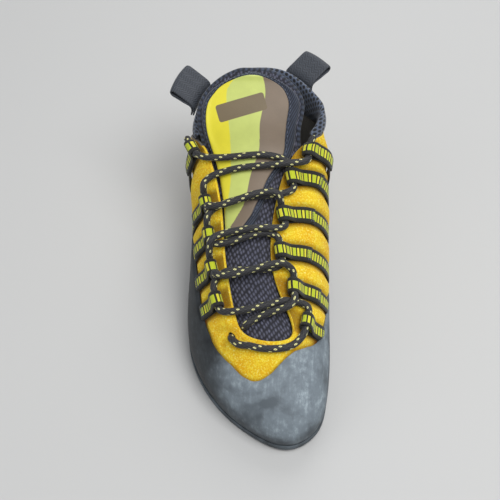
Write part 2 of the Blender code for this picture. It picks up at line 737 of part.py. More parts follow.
class Tongue:
    """The tongue's surface, from its end under the vamp to its free top."""

    def __init__(self):
        rows = [self.loose(*row) for row in TONGUE_FOOT]
        rows += [self.tucked(*row) for row in TONGUE_THROAT]
        rows += [self.loose(*row) for row in TONGUE_FREE]
        rows = np.array(rows)
        knots = chord_knots(rows[:, 3:6])
        self.curve = Spline(knots / knots[-1], rows)

    @staticmethod
    def loose(along, side, height, half, drop):
        """Lateral edge, middle and medial edge of a section given by its own sizes."""
        middle = np.array([side * BALL_WIDTH, HEEL_BACK - along * LENGTH, height * INSTEP_HEIGHT])
        middle[2] -= LEATHER_THICKNESS + GAP
        reach = np.array([half * BALL_WIDTH, 0.0, 0.0])
        fall = np.array([0.0, 0.0, drop * BALL_WIDTH])
        return np.concatenate([middle - reach - fall, middle, middle + reach - fall])

    @staticmethod
    def tucked(along, crown):
        """Lateral edge, middle and medial edge of a section between the edges of the throat."""
        edges = []
        for side in ("lateral", "medial"):
            place = place_along(along, side, up=1.0)
            up = 1.0 - TONGUE_TUCK / wall_length(place)
            edges.append(offset(place, up, -LEATHER_THICKNESS - TONGUE_GAP))
        middle = (edges[0] + edges[1]) / 2 + np.array([0.0, 0.0, crown * BALL_WIDTH])
        return np.concatenate([edges[0], middle, edges[1]])

    def at(self, share, across, out=0.0):
        """Point at a share of the length and of the half width, out of the surface by out."""
        top = max(0.0, (share - TONGUE_ROUND_TOP) / (1 - TONGUE_ROUND_TOP))
        foot = max(0.0, 1 - share / TONGUE_ROUND_FOOT)
        part = across * math.sqrt(max(0.0, 1 - top**2.6)) * math.sqrt(1 - 0.6 * foot**2)
        here = self.section(share, part)
        along = self.section(share + SMALL, part) - self.section(share - SMALL, part)
        sideways = self.section(share, part + SMALL) - self.section(share, part - SMALL)
        return here + unit(np.cross(sideways, along)) * out

    def section(self, share, part):
        """Point of the curve across the tongue through its edges and its middle."""
        row = self.curve.at(share).reshape(3, 3)
        weights = (part * (part - 1) / 2, 1 - part * part, part * (part + 1) / 2)
        return sum(weight * point for weight, point in zip(weights, row))

    def over(self, x, y):
        """Share of the length, share of the half width and height of the surface over a spot."""
        low, high = 0.0, 1.0
        part = 0.0
        for _ in range(24):
            share = (low + high) / 2
            row = self.curve.at(share).reshape(3, 3)
            part = (x - row[1, 0]) / (row[2, 0] - row[0, 0]) * 2
            part = min(max(part, -1.0), 1.0)
            if self.section(share, part)[1] < y:
                low = share
            else:
                high = share
        return share, part, self.section(share, part)[2]


TONGUE = Tongue()


def band(rows, share):
    """Left and right edges of a facing at a share of the tongue's length."""
    table = np.array(rows)
    return (
        float(np.interp(share, table[:, 0], table[:, 1])),
        float(np.interp(share, table[:, 0], table[:, 2])),
    )


def tongue_layer(name, rows, base, thickness, width, finish):
    """A layer of the tongue over its surface, with softened edges."""
    first, last = rows[0][0], rows[-1][0]
    inside = [i / TONGUE_STEPS for i in range(TONGUE_STEPS + 1)]
    shares = [first, *(s for s in inside if first + 0.01 < s < last - 0.01), last]
    outer, inner = [], []
    for i, share in enumerate(shares):
        left, right = band(rows, share)
        outer_row, inner_row = [], []
        for j in range(width + 1):
            across = left + (right - left) * (1 + math.cos(math.pi * j / width)) / 2
            edge = 0.35 if j in (0, width) or i in (0, len(shares) - 1) else 1.0
            outer_row.append(TONGUE.at(share, across, base + thickness * edge))
            inner_row.append(TONGUE.at(share, across, base))
        outer.append(outer_row)
        inner.append(inner_row)
    shell(name, outer, inner, finish, closed=False)


def build_tongue():
    """Mesh tongue, its padded facing and the panel on the facing."""
    whole = ((0.0, -1.0, 1.0), (TONGUE_TIP, -1.0, 1.0))
    tongue_layer("tongue", whole, -TONGUE_THICKNESS, TONGUE_THICKNESS, 8, "mesh")
    tongue_layer("tongue_facing", FACING_ROWS, 1.5 * GAP, FACING_THICKNESS, 8, "facing")
    base = 3 * GAP + FACING_THICKNESS
    tongue_layer("tongue_panel", PANEL_ROWS, base, PANEL_THICKNESS, 8, "panel")


def tube(name, points, first, last, finish):
    """A round lace through the points, with flat ends square to the first and last directions."""
    points = np.array(points)
    travel = np.gradient(points, axis=0)
    travel[0], travel[-1] = first, last
    side = np.array([0.0, 0.0, 1.0])
    rings = []
    for point, direction in zip(points, travel):
        direction = unit(direction)
        side = unit(side - direction * side.dot(direction))
        other = np.cross(direction, side)
        turns = [2 * math.pi * k / LACE_SIDES for k in range(LACE_SIDES)]
        radius = LACE_DIAMETER / 2
        rings.append([point + radius * (side * math.cos(t) + other * math.sin(t)) for t in turns])
    corners = [corner for ring in rings for corner in ring]
    faces = []
    for i in range(len(rings) - 1):
        for k in range(LACE_SIDES):
            a, b = i * LACE_SIDES + k, i * LACE_SIDES + (k + 1) % LACE_SIDES
            faces.append((a, b, b + LACE_SIDES, a + LACE_SIDES))
    end = (len(rings) - 1) * LACE_SIDES
    faces.append(tuple(range(LACE_SIDES - 1, -1, -1)))
    faces.append(tuple(end + k for k in range(LACE_SIDES)))
    return add_object(name, corners, faces, finish)


def leather_height(x, y):
    """Height of the leather beside the throat over a spot, or nothing over the throat itself."""
    along = (HEEL_BACK - y) / LENGTH
    for side, turn in (("lateral", -1), ("medial", 1)):
        points, _ = profile(round(place_along(along, side, up=1.0), 6))
        top = points[PROFILE_SAMPLES // 2 :][::-1]
        if (x - top[0, 0]) * turn > -LACE_DIAMETER:
            return float(np.interp(x * turn, top[:, 0] * turn, top[:, 2]))
    return 0.0


def lace_height(x, y):
    """Height of the middle line of a lace that lies on the shoe over a spot of the floor."""
    share, part, height = TONGUE.over(x, y)
    here = TONGUE.section(share, part)
    across = TONGUE.section(share, part + SMALL) - here
    along = TONGUE.section(share + SMALL, part) - here
    level = max(unit(np.cross(across, along))[2], 0.5)
    padded = share > FACING_ROWS[0][0] - STRAND_MARGIN
    layers = 3 * GAP + FACING_THICKNESS + PANEL_THICKNESS if padded else 0.0
    on_tongue = height + (layers + STRAND_LIFT) / level
    return max(on_tongue, leather_height(x, y) + LEATHER_SLOPE * STRAND_LIFT)


def over_tongue(start, out, end, back):
    """Points of a taut strand from one lace loop to the other, lying over the tongue."""
    reach = STRAND_STIFFNESS * LACE_DIAMETER
    controls = (start, start + out * reach, end + back * reach, end)
    points = []
    for i in range(STRAND_STEPS + 1):
        t = i / STRAND_STEPS
        weights = ((1 - t) ** 3, 3 * t * (1 - t) ** 2, 3 * t * t * (1 - t), t**3)
        points.append(sum(weight * control for weight, control in zip(weights, controls)))
    points = np.array(points)
    floor = [lace_height(x, y) for x, y, _ in points]
    for _ in range(STRAND_ROUNDS):
        for i in range(1, STRAND_STEPS):
            level = (points[i - 1, 2] + points[i + 1, 2]) / 2
            points[i, 2] = max(level, floor[i])
    return points


def build_laces():
    """The bar over the toe end of the throat and the crossings between the lace loops."""
    medial = [LaceLoop("medial", i + 1) for i in range(len(LACE_LOOPS["medial"]))]
    lateral = [LaceLoop("lateral", i + 1) for i in range(len(LACE_LOOPS["lateral"]))]
    for loop in medial + lateral:
        loop.build()
    bar_start, slit_up = slit_spot()
    entry, into = medial[0].mouth(heelward=False)
    bar_end = place_along(LACE_LOOPS["medial"][0][0], "medial", up=1.0)
    over = LACE_DIAMETER / 2 + 2 * GAP
    points = []
    for i in range(BAR_STEPS + 1):
        share = i / (BAR_STEPS + 2)
        place = bar_start + (bar_end - bar_start) * share
        level = 1 - BAR_DISTANCE / wall_length(place)
        up = slit_up + (level - slit_up) * smooth_step(share, 0.0, 0.25)
        points.append(offset(place, up, over))
    line = Spline(chord_knots(np.array(points + [entry])), points + [entry])
    samples = np.linspace(line.knots[0], line.knots[-1], STRAND_STEPS + 1)
    bar = [line.at(sample) for sample in samples]
    tube("lace_bar", bar, bar[1] - bar[0], -into, "lace")
    for number in range(1, len(lateral) + 1):
        start, out = medial[number - 1].mouth(heelward=True)
        end, back = lateral[number - 1].mouth(heelward=False)
        path = over_tongue(start, out, end, back)
        strand = tube(f"lace_crossing_{number}", path, out, -back, "lace")
        far, back = medial[number].mouth(heelward=False)
        if number > 1:
            start, out = lateral[number - 2].mouth(heelward=True)
        else:
            place, _ = slit_spot()
            start = offset(place, 1.0, 0.0) + STRAND_START
            out = unit(far - start)
        path = over_tongue(start, out, far, back)
        other = tube(f"lace_under_{number}", path, out, -back, "lace")
        hide(other)
        combine(strand, other, "UNION")


def main():
    clear_scene()
    build_outsole()
    build_insole()
    build_rand()
    build_upper()
    build_collar()
    build_tongue()
    build_laces()
    for side in PULL_PLACES:
        build_pull_loop(side)


main()
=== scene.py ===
"""Dressed model of a lace-up climbing shoe for the right foot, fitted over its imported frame.

Everything is in metres. The origin is on the floor under the centre of the heel, the toe points to -Y
and +X is the medial side. Places on the shoe are a place round the outsole, from the heel's back along
the lateral side, and a share of the wall from the sole up to the throat's edge or the collar's rim.
"""

import logging
import math
from collections.abc import Callable
from dataclasses import dataclass, field
from enum import Enum
from functools import cached_property

import bpy
import numpy as np
from bpy.types import Material, Node, NodeSocket, Object
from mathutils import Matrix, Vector


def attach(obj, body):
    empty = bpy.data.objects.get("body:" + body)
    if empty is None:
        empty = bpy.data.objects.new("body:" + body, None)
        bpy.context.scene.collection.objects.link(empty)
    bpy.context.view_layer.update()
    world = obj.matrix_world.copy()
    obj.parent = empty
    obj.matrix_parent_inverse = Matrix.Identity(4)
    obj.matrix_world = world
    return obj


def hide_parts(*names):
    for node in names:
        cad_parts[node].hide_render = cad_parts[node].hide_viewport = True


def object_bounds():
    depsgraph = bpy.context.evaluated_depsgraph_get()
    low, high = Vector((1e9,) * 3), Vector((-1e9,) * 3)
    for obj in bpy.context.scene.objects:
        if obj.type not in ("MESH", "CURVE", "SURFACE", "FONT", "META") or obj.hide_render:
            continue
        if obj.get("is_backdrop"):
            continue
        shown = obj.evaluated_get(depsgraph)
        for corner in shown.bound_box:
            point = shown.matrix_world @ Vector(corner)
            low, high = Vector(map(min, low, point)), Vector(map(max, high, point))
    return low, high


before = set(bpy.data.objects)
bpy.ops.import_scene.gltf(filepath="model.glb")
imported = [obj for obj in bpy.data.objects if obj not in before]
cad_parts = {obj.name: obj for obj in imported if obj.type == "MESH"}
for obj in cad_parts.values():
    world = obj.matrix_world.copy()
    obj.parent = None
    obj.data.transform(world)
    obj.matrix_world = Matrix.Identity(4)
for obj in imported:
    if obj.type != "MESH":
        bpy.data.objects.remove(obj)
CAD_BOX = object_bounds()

Array = np.ndarray
Pair = tuple[float, float]
Triple = tuple[float, float, float]
LOG = logging.getLogger("shoe")
BODY = "root"


@dataclass(frozen=True)
class ShoeSizes:
    """Driving sizes of the shoe and clearances, all in metres. A layer's bare name is its thickness."""

    length: float = 0.250
    ball_width: float = 0.095
    instep_height: float = 0.080
    collar_height: float = 0.100
    heel_back: float = 0.031
    gap: float = 0.0003
    sole: float = 0.0045
    sole_lip: float = 0.0008
    sole_bevel: float = 0.0010
    rand: float = 0.0018
    leather: float = 0.0020
    collar_pad: float = 0.0045
    collar_puff: float = 0.0020
    insole: float = 0.0025
    arch_rise: float = 0.0030
    toe_spring: float = 0.0025
    strap_width: float = 0.0106
    strap: float = 0.0012
    strap_gap: float = 0.0008
    strap_corner_gap: float = 0.0014
    strap_overlap: float = 0.0120
    lace_diameter: float = 0.0046
    lace_clearance: float = 0.0005
    tongue: float = 0.0030
    facing: float = 0.0022
    panel: float = 0.0008
    tongue_tuck: float = 0.0040
    tongue_gap: float = 0.0016


SIZES = ShoeSizes()


class Side(Enum):
    """The two sides of the shoe."""

    LATERAL = "lateral"
    MEDIAL = "medial"

    @property
    def sign(self) -> int:
        """-1 on the lateral side and 1 on the medial side."""
        return 1 if self is Side.MEDIAL else -1


# Sections of the last from the heel's back along the lateral side to the toe and back along the
# medial side. along and t_along are shares of the length from the heel's back. side, w_out, a_out and
# t_side are shares of the ball's width, medial positive. w is the widest point, a the shoulder or the
# ankle and t the edge of the throat or the collar's rim. rand and leather are shares of the wall.
#  along,   side,  w_out,  w_z,  a_out,  a_z, t_side, t_along, t_z, rand, leather
REAR_LATERAL = (  # heights are shares of the collar's height
    (0.000, 0.000, 0.021, 0.24, -0.034, 0.66, 0.000, 0.012, 1.00, 0.40, 0.68),
    (0.036, -0.235, 0.026, 0.24, -0.018, 0.66, -0.225, 0.034, 1.00, 0.38, 0.69),
    (0.125, -0.325, 0.042, 0.27, 0.040, 0.68, -0.400, 0.115, 1.00, 0.35, 0.74),
    (0.220, -0.335, 0.085, 0.34, 0.095, 0.71, -0.465, 0.215, 0.92, 0.35, 0.89),
)
FRONT = (  # heights are shares of the instep's height
    (0.300, -0.350, 0.115, 0.47, 0.126, 0.85, -0.385, 0.296, 1.11, 0.38, 1.00),
    (0.392, -0.363, 0.116, 0.45, 0.100, 0.77, -0.297, 0.384, 0.99, 0.43, 1.00),
    (0.480, -0.405, 0.074, 0.40, 0.078, 0.69, -0.250, 0.472, 0.91, 0.50, 1.00),
    (0.572, -0.452, 0.030, 0.31, 0.032, 0.62, -0.225, 0.564, 0.83, 0.56, 1.00),
    (0.652, -0.468, 0.010, 0.24, 0.016, 0.56, -0.185, 0.650, 0.75, 0.58, 1.00),
    (0.728, -0.442, 0.008, 0.20, 0.012, 0.52, -0.143, 0.718, 0.69, 0.60, 1.00),
    (0.816, -0.353, 0.008, 0.17, 0.020, 0.47, -0.095, 0.770, 0.65, 0.62, 1.00),
    (0.904, -0.185, 0.008, 0.16, 0.034, 0.43, -0.010, 0.796, 0.64, 0.61, 1.00),
    (0.968, 0.020, 0.008, 0.15, 0.045, 0.42, 0.075, 0.804, 0.64, 0.60, 1.00),
    (1.000, 0.270, 0.008, 0.14, 0.050, 0.42, 0.165, 0.804, 0.64, 0.80, 1.00),
    (0.952, 0.447, 0.008, 0.15, 0.045, 0.44, 0.250, 0.794, 0.65, 0.87, 1.00),
    (0.860, 0.516, 0.010, 0.18, 0.028, 0.50, 0.270, 0.758, 0.68, 0.72, 1.00),
    (0.760, 0.530, 0.010, 0.24, 0.030, 0.58, 0.210, 0.704, 0.73, 0.50, 1.00),
    (0.660, 0.500, 0.034, 0.36, 0.065, 0.67, 0.135, 0.632, 0.79, 0.38, 1.00),
    (0.560, 0.442, 0.090, 0.49, 0.105, 0.77, 0.108, 0.544, 0.86, 0.33, 1.00),
    (0.460, 0.374, 0.155, 0.61, 0.145, 0.87, 0.128, 0.452, 0.94, 0.30, 1.00),
    (0.368, 0.332, 0.195, 0.70, 0.160, 0.97, 0.178, 0.364, 1.03, 0.28, 1.00),
    (0.288, 0.320, 0.185, 0.71, 0.165, 1.05, 0.285, 0.284, 1.12, 0.29, 0.99),
)
REAR_MEDIAL = (  # heights are shares of the collar's height
    (0.205, 0.316, 0.126, 0.45, 0.095, 0.77, 0.450, 0.205, 1.00, 0.32, 0.87),
    (0.120, 0.310, 0.063, 0.30, 0.040, 0.70, 0.405, 0.125, 1.01, 0.35, 0.76),
    (0.036, 0.232, 0.026, 0.24, -0.014, 0.66, 0.220, 0.036, 1.00, 0.38, 0.69),
)

# Tongue, shares of the length along the shoe and, for the rest, of the ball's width and the instep's
# height. The loose sections give middle, height, half width and drop of their edges; those in the
# throat give the crown over edges that are tucked under the leather.
TONGUE_FOOT = (
    (0.880, 0.085, 0.450, 0.125, 0.035), (0.832, 0.105, 0.535, 0.160, 0.045),
)
TONGUE_THROAT = (
    (0.780, 0.036), (0.715, 0.048), (0.630, 0.055), (0.540, 0.058), (0.450, 0.060), (0.375, 0.064),
    (0.306, 0.070),
)
TONGUE_FREE = (
    (0.250, -0.070, 1.310, 0.350, 0.046), (0.196, -0.055, 1.455, 0.395, 0.036),
    (0.138, -0.048, 1.610, 0.380, 0.040),
)

# Lace loops from the toe up: where the strap meets the throat and the rand, as shares of the length,
# and how far the loop's end lies from the throat's edge, as a share of the strap's width.
#  top,   foot,  edge
LACE_LOOPS = {
    Side.MEDIAL: (
        (0.742, 0.748, 0.50), (0.666, 0.648, 0.45), (0.576, 0.548, 0.15),
        (0.478, 0.440, 0.22), (0.374, 0.336, 0.25), (0.293, 0.286, 0.34),
    ),
    Side.LATERAL: (
        (0.688, 0.696, 0.36), (0.604, 0.610, 0.34), (0.516, 0.520, 0.36),
        (0.424, 0.426, 0.40), (0.276, 0.312, 0.10),
    ),
}


def unit(vectors: Array) -> Array:
    """The vectors along the last axis with a length of 1."""
    return vectors / np.maximum(np.linalg.norm(vectors, axis=-1, keepdims=True), 1e-12)


def ease(value: Array | float, low: float, high: float) -> Array | float:
    """A share for each value: 0 below low, 1 above high and a soft S between."""
    share = np.clip((np.asarray(value, float) - low) / (high - low), 0.0, 1.0)
    return share * share * (3 - 2 * share)


def full_turn(count: int) -> Array:
    """That many even angles round a circle, from 0."""
    return np.linspace(0.0, 2 * np.pi, count + 1)[:-1]


def chord_knots(points: Array, closed: bool = False) -> Array:
    """Distances of the points along the line through them.

    Args:
        points: One row for each point.
        closed: Whether the line goes back to its start, which scales its length to 1.

    Returns:
        One distance for each point.
    """
    ends = np.vstack([points, points[:1]]) if closed else np.asarray(points)
    lengths = np.concatenate([[0.0], np.cumsum(np.linalg.norm(np.diff(ends, axis=0), axis=1))])
    return lengths[:-1] / lengths[-1] if closed else lengths


class Curve:
    """A cubic spline through rows of values, natural at its ends or periodic."""

    def __init__(self, knots: Array, rows: Array, period: float | None = None) -> None:
        """Solves for the second derivatives at the knots.

        Args:
            knots: Rising places along the curve.
            rows: The values at each of them.
            period: Where a closed curve comes back to its first knot, or nothing.
        """
        self.knots = np.asarray(knots, float)
        self.rows = np.asarray(rows, float)
        self.period = period
        count = len(self.knots)
        steps = np.diff(self.knots)
        if period is not None:
            steps = np.append(steps, period - self.knots[-1] + self.knots[0])
        matrix = np.eye(count)
        right = np.zeros_like(self.rows)
        for i in range(count) if period is not None else range(1, count - 1):
            before, after = steps[i - 1], steps[i]
            j, k = (i - 1) % count, (i + 1) % count
            matrix[i] = 0.0
            matrix[i, j] += before
            matrix[i, i] += 2 * (before + after)
            matrix[i, k] += after
            rise = (self.rows[k] - self.rows[i]) / after
            right[i] = 6 * (rise - (self.rows[i] - self.rows[j]) / before)
        self.bends = np.linalg.solve(matrix, right)

    def at(self, places: Array | float) -> Array:
        """Rows of values along the curve.

        Args:
            places: One place or an array of them.

        Returns:
            One row for each place, or one row for a single place.
        """
        flat = np.asarray(places, float).ravel()
        count = len(self.knots)
        if self.period is None:
            here = np.clip(flat, self.knots[0], self.knots[-1])
            i = np.clip(np.searchsorted(self.knots, here, side="right") - 1, 0, count - 2)
            k = i + 1
            end = self.knots[k]
        else:
            here = (flat - self.knots[0]) % self.period + self.knots[0]
            i = np.searchsorted(self.knots, here, side="right") - 1
            k = (i + 1) % count
            end = np.where(k > 0, self.knots[k], self.knots[0] + self.period)
        step = (end - self.knots[i])[:, None]
        rest = (end - here)[:, None] / step
        done = 1 - rest
        bend = (rest**3 - rest) * self.bends[i] + (done**3 - done) * self.bends[k]
        made = rest * self.rows[i] + done * self.rows[k] + bend * step * step / 6
        return made.reshape(*np.shape(places), -1)


def sampled(line: Array, run: Array, goals: Array) -> Array:
    """Points of a line at the distances of goals, where run is the distance of each of its points."""
    return np.column_stack([np.interp(goals, run, column) for column in line.T])


def evenly_spaced(points: Array, step: float) -> Array:
    """Points at even distances along a smooth curve through the given ones.

    Args:
        points: The points that the curve passes through.
        step: Distance between the new points, in metres.

    Returns:
        The new points, the two ends among them.
    """
    curve = Curve(chord_knots(points), points)
    fine = curve.at(np.linspace(0, curve.knots[-1], 40 * len(points)))
    lengths = chord_knots(fine)
    count = max(2, int(round(lengths[-1] / step)) + 1)
    return sampled(fine, lengths, np.linspace(0, lengths[-1], count))


def sole_rise(y: Array | float) -> Array | float:
    """Height of the outsole's underside above the floor at a place along the shoe."""
    along = (SIZES.heel_back - y) / SIZES.length
    arch = ease(along, 0.26, 0.40) * (1 - ease(along, 0.46, 0.62))
    return SIZES.arch_rise * arch + SIZES.toe_spring * ease(along, 0.90, 1.04)


def section_rows() -> Array:
    """The sections of the last in metres.

    Returns:
        x and y of the sole's edge, then the other columns of the tables.
    """
    width, length, tables = SIZES.ball_width, SIZES.length, []
    for table, height in (
        (REAR_LATERAL, SIZES.collar_height),
        (FRONT, SIZES.instep_height),
        (REAR_MEDIAL, SIZES.collar_height),
    ):
        scale = (length, width, width, height, width, height, width, length, height, 1, 1)
        tables.append(np.array(table) * scale)
    rows = np.vstack(tables)
    rows[:, (0, 7)] = SIZES.heel_back - rows[:, (0, 7)]
    return rows[:, (1, 0, *range(2, 11))]


class Last:
    """The surface that the upper is pulled over, as a fine grid of points and directions."""

    places = 960
    ups = 81

    def __init__(self) -> None:
        """Works out the wall at every place round the shoe."""
        rows = section_rows()
        self.curve = Curve(chord_knots(rows[:, :2], closed=True), rows, period=1.0)
        self.toe = float(self.curve.knots[int(np.argmin(rows[:, 1]))])
        walls = [self.wall(i / self.places) for i in range(self.places)]
        self.points = np.array([points for points, _ in walls])
        self.lengths = np.array([length for _, length in walls])
        ahead = np.roll(self.points, -1, axis=0)
        behind = np.roll(self.points, 1, axis=0)
        self.around = (ahead - behind) * self.places / 2
        self.upward = np.gradient(self.points, axis=1) * (self.ups - 1)
        self.normals = unit(np.cross(self.around, self.upward))

    def outline(self, places: Array, inset: float = 0.0) -> tuple[Array, Array]:
        """The outsole's edge in plan.

        Args:
            places: Places round the shoe.
            inset: How far the edge is moved in.

        Returns:
            The points and the outward directions there.
        """
        step = 0.002
        places = np.atleast_1d(places)
        travel = unit(self.curve.at(places + step)[:, :2] - self.curve.at(places - step)[:, :2])
        outward = np.column_stack([travel[:, 1], -travel[:, 0]])
        return self.curve.at(places)[:, :2] - outward * inset, outward

    def wall(self, place: float) -> tuple[Array, float]:
        """The wall at one place round the shoe.

        Args:
            place: The place.

        Returns:
            Its points at even distances from the sole up, and its length.
        """
        row = self.curve.at(place)
        edges, outwards = self.outline(place, SIZES.sole_lip + SIZES.rand + SIZES.gap)
        edge, outward = edges[0], outwards[0]
        top = row[6:8]
        foot = sole_rise(edge[1]) + SIZES.sole + SIZES.gap
        widest, waist = edge + outward * row[2], (edge + top) / 2 + outward * row[4]
        knots = np.array([(*edge, foot), (*widest, row[3]), (*waist, row[5]), (*top, row[8])])
        curve = Curve(chord_knots(knots), knots)
        fine = curve.at(np.linspace(0, curve.knots[-1], 3 * self.ups))
        lengths = chord_knots(fine)
        return sampled(fine, lengths, np.linspace(0, lengths[-1], self.ups)), lengths[-1]

    def sample(self, grid: Array, place: Array, up: Array) -> Array:
        """Values of a grid between its rows and columns.

        Args:
            grid: One of this surface's grids.
            place: Places round the shoe.
            up: Shares of the wall.

        Returns:
            One value or vector for each pair.
        """
        place, up = np.broadcast_arrays(np.asarray(place, float), np.asarray(up, float))
        x = (place % 1.0) * self.places
        i = np.floor(x).astype(int) % self.places
        k = (i + 1) % self.places
        rest = (x - np.floor(x))[..., None]
        y = np.clip(up, 0.0, 1.0) * (self.ups - 1)
        low = np.minimum(np.floor(y).astype(int), self.ups - 2)
        done = (y - low)[..., None]
        near = grid[i, low] * (1 - rest) + grid[k, low] * rest
        far = grid[i, low + 1] * (1 - rest) + grid[k, low + 1] * rest
        return near * (1 - done) + far * done

    def skin(self, place: Array, up: Array) -> Array:
        """Points of the surface."""
        return self.sample(self.points, place, up)

    def normal(self, place: Array, up: Array) -> Array:
        """Outward directions of the surface."""
        return unit(self.sample(self.normals, place, up))

    def offset(self, place: Array, up: Array, out: Array | float) -> Array:
        """Points at a distance out of the surface."""
        return self.skin(place, up) + self.normal(place, up) * np.asarray(out)[..., None]

    def length(self, place: Array) -> Array:
        """Length of the wall from the sole's edge to its top."""
        x = (np.asarray(place, float) % 1.0) * self.places
        ends = np.append(self.lengths, self.lengths[0])
        return np.interp(x, np.arange(self.places + 1), ends)

    def rand_top(self, place: Array) -> Array:
        """Share of the wall that the rubber rand covers."""
        return self.curve.at(place)[..., 9]

    def leather_top(self, place: Array) -> Array:
        """Share of the wall that the leather covers."""
        return np.minimum(self.curve.at(place)[..., 10], 1.0)

    def place_along(self, share: float, side: Side, up: float | None = 1.0) -> float:
        """The place round the shoe whose wall is so far along the shoe.

        Args:
            share: Share of the length from the heel's back.
            side: The side of the shoe.
            up: Share of the wall where that counts, or nothing for the top of the rand.

        Returns:
            The place.
        """
        low, high = (0.0, self.toe) if side is Side.LATERAL else (self.toe, 1.0)
        goal = SIZES.heel_back - share * SIZES.length
        for _ in range(30):
            middle = (low + high) / 2
            here = self.skin(middle, self.rand_top(middle) if up is None else up)[1]
            if (here < goal) == (side is Side.LATERAL):
                high = middle
            else:
                low = middle
        return (low + high) / 2


LAST = Last()


class LaceLoop:
    """A strap of webbing up the shoe's side, folded back on itself to carry the lace."""

    corner = 0.320
    radius = SIZES.lace_diameter / 2 + SIZES.lace_clearance + SIZES.strap / 2

    def __init__(self, side: Side, number: int) -> None:
        """Lays the strap's middle line on the last, from the throat's edge down to the rand.

        Args:
            side: The side of the shoe.
            number: The loop's number from the toe up, from 1.
        """
        top, foot, edge = LACE_LOOPS[side][number - 1]
        self.name = f"lace_loop_{side.value}_{number}"
        self.side = side
        self.edge = edge * SIZES.strap_width
        gap = SIZES.strap_corner_gap if top < self.corner else SIZES.strap_gap
        self.base = gap + SIZES.strap / 2
        start = LAST.place_along(foot, side, up=None)
        low = np.array((start, float(LAST.rand_top(start))))
        high = np.array((LAST.place_along(top, side), 1.0))
        self.line = low + (high - low) * np.linspace(1.0, 0.0, 60)[:, None]
        self.middle = LAST.skin(self.line[:, 0], self.line[:, 1])
        self.distances = chord_knots(self.middle)

    def spot(self, distance: Array, height: Array, across: Array) -> Array:
        """Points over the leather.

        Args:
            distance: How far from the throat's edge.
            height: How high over the leather.
            across: How far beside the strap's middle line.

        Returns:
            One point for each of them.
        """
        distance, height, across = np.broadcast_arrays(distance, height, across)
        place = np.interp(distance, self.distances, self.line[:, 0])
        up = np.interp(distance, self.distances, self.line[:, 1])
        around = LAST.sample(LAST.around, place, up)
        upward = LAST.sample(LAST.upward, place, up)
        travel = around * (self.line[0, 0] - self.line[-1, 0]) + upward * (1 - self.line[-1, 1])
        sideways = unit(np.cross(travel, np.cross(around, upward))) * across[..., None]
        pairs = ((around, around), (around, upward), (upward, upward), (sideways, around), (sideways, upward))
        aa, au, uu, sa, su = (np.sum(a * b, axis=-1) for a, b in pairs)
        scale = aa * uu - au * au
        place = place + (sa * uu - su * au) / scale
        up = up + (su * aa - sa * au) / scale
        lowest = LAST.rand_top(place.ravel()).reshape(place.shape) + 2 * SIZES.gap / LAST.length(place)
        return LAST.offset(place, np.maximum(up, lowest), height)

    def path(self) -> Array:
        """The webbing's middle line as distances from the throat's edge and heights over the leather."""
        run = self.distances[-1]
        turn = self.edge + self.radius
        points = [(run + (turn - run) * i / 8, self.base) for i in range(9)]
        for i in range(1, 9):
            angle = math.pi * i / 8
            lift = self.radius * (1 - math.cos(angle))
            points.append((turn - self.radius * math.sin(angle), self.base + lift))
        high = self.base + SIZES.strap + 1.5 * SIZES.gap
        reach = min(2.6 * self.radius, 0.5 * (run - turn))
        for share in (0.2, 0.4, 0.6, 0.8, 1.0):
            fall = float(ease(share, 0.0, 1.0)) * (self.base + 2 * self.radius - high)
            points.append((turn + reach * share, self.base + 2 * self.radius - fall))
        tail = min(turn + reach + SIZES.strap_overlap, run - 2 * SIZES.gap)
        points.append(((turn + reach + tail) / 2, high))
        points.append((tail, high))
        return np.array(points)

    def mouth(self, heelward: bool) -> tuple[Array, Array]:
        """One of the loop's two mouths.

        Args:
            heelward: Whether it is the one towards the heel.

        Returns:
            Its middle, and the direction out of it.
        """
        distance, height = self.edge + self.radius, self.base + self.radius
        turn = 1 if (self.side is Side.MEDIAL) == heelward else -1
        across = turn * (SIZES.strap_width / 2 + 2 * SIZES.gap)
        near = self.spot(distance, height, across)
        return near, unit(self.spot(distance, height, 1.3 * across) - near)

    def inside(self) -> Array:
        """Middle of the loop's eye."""
        return self.spot(self.edge + self.radius, self.base + self.radius, 0.0)


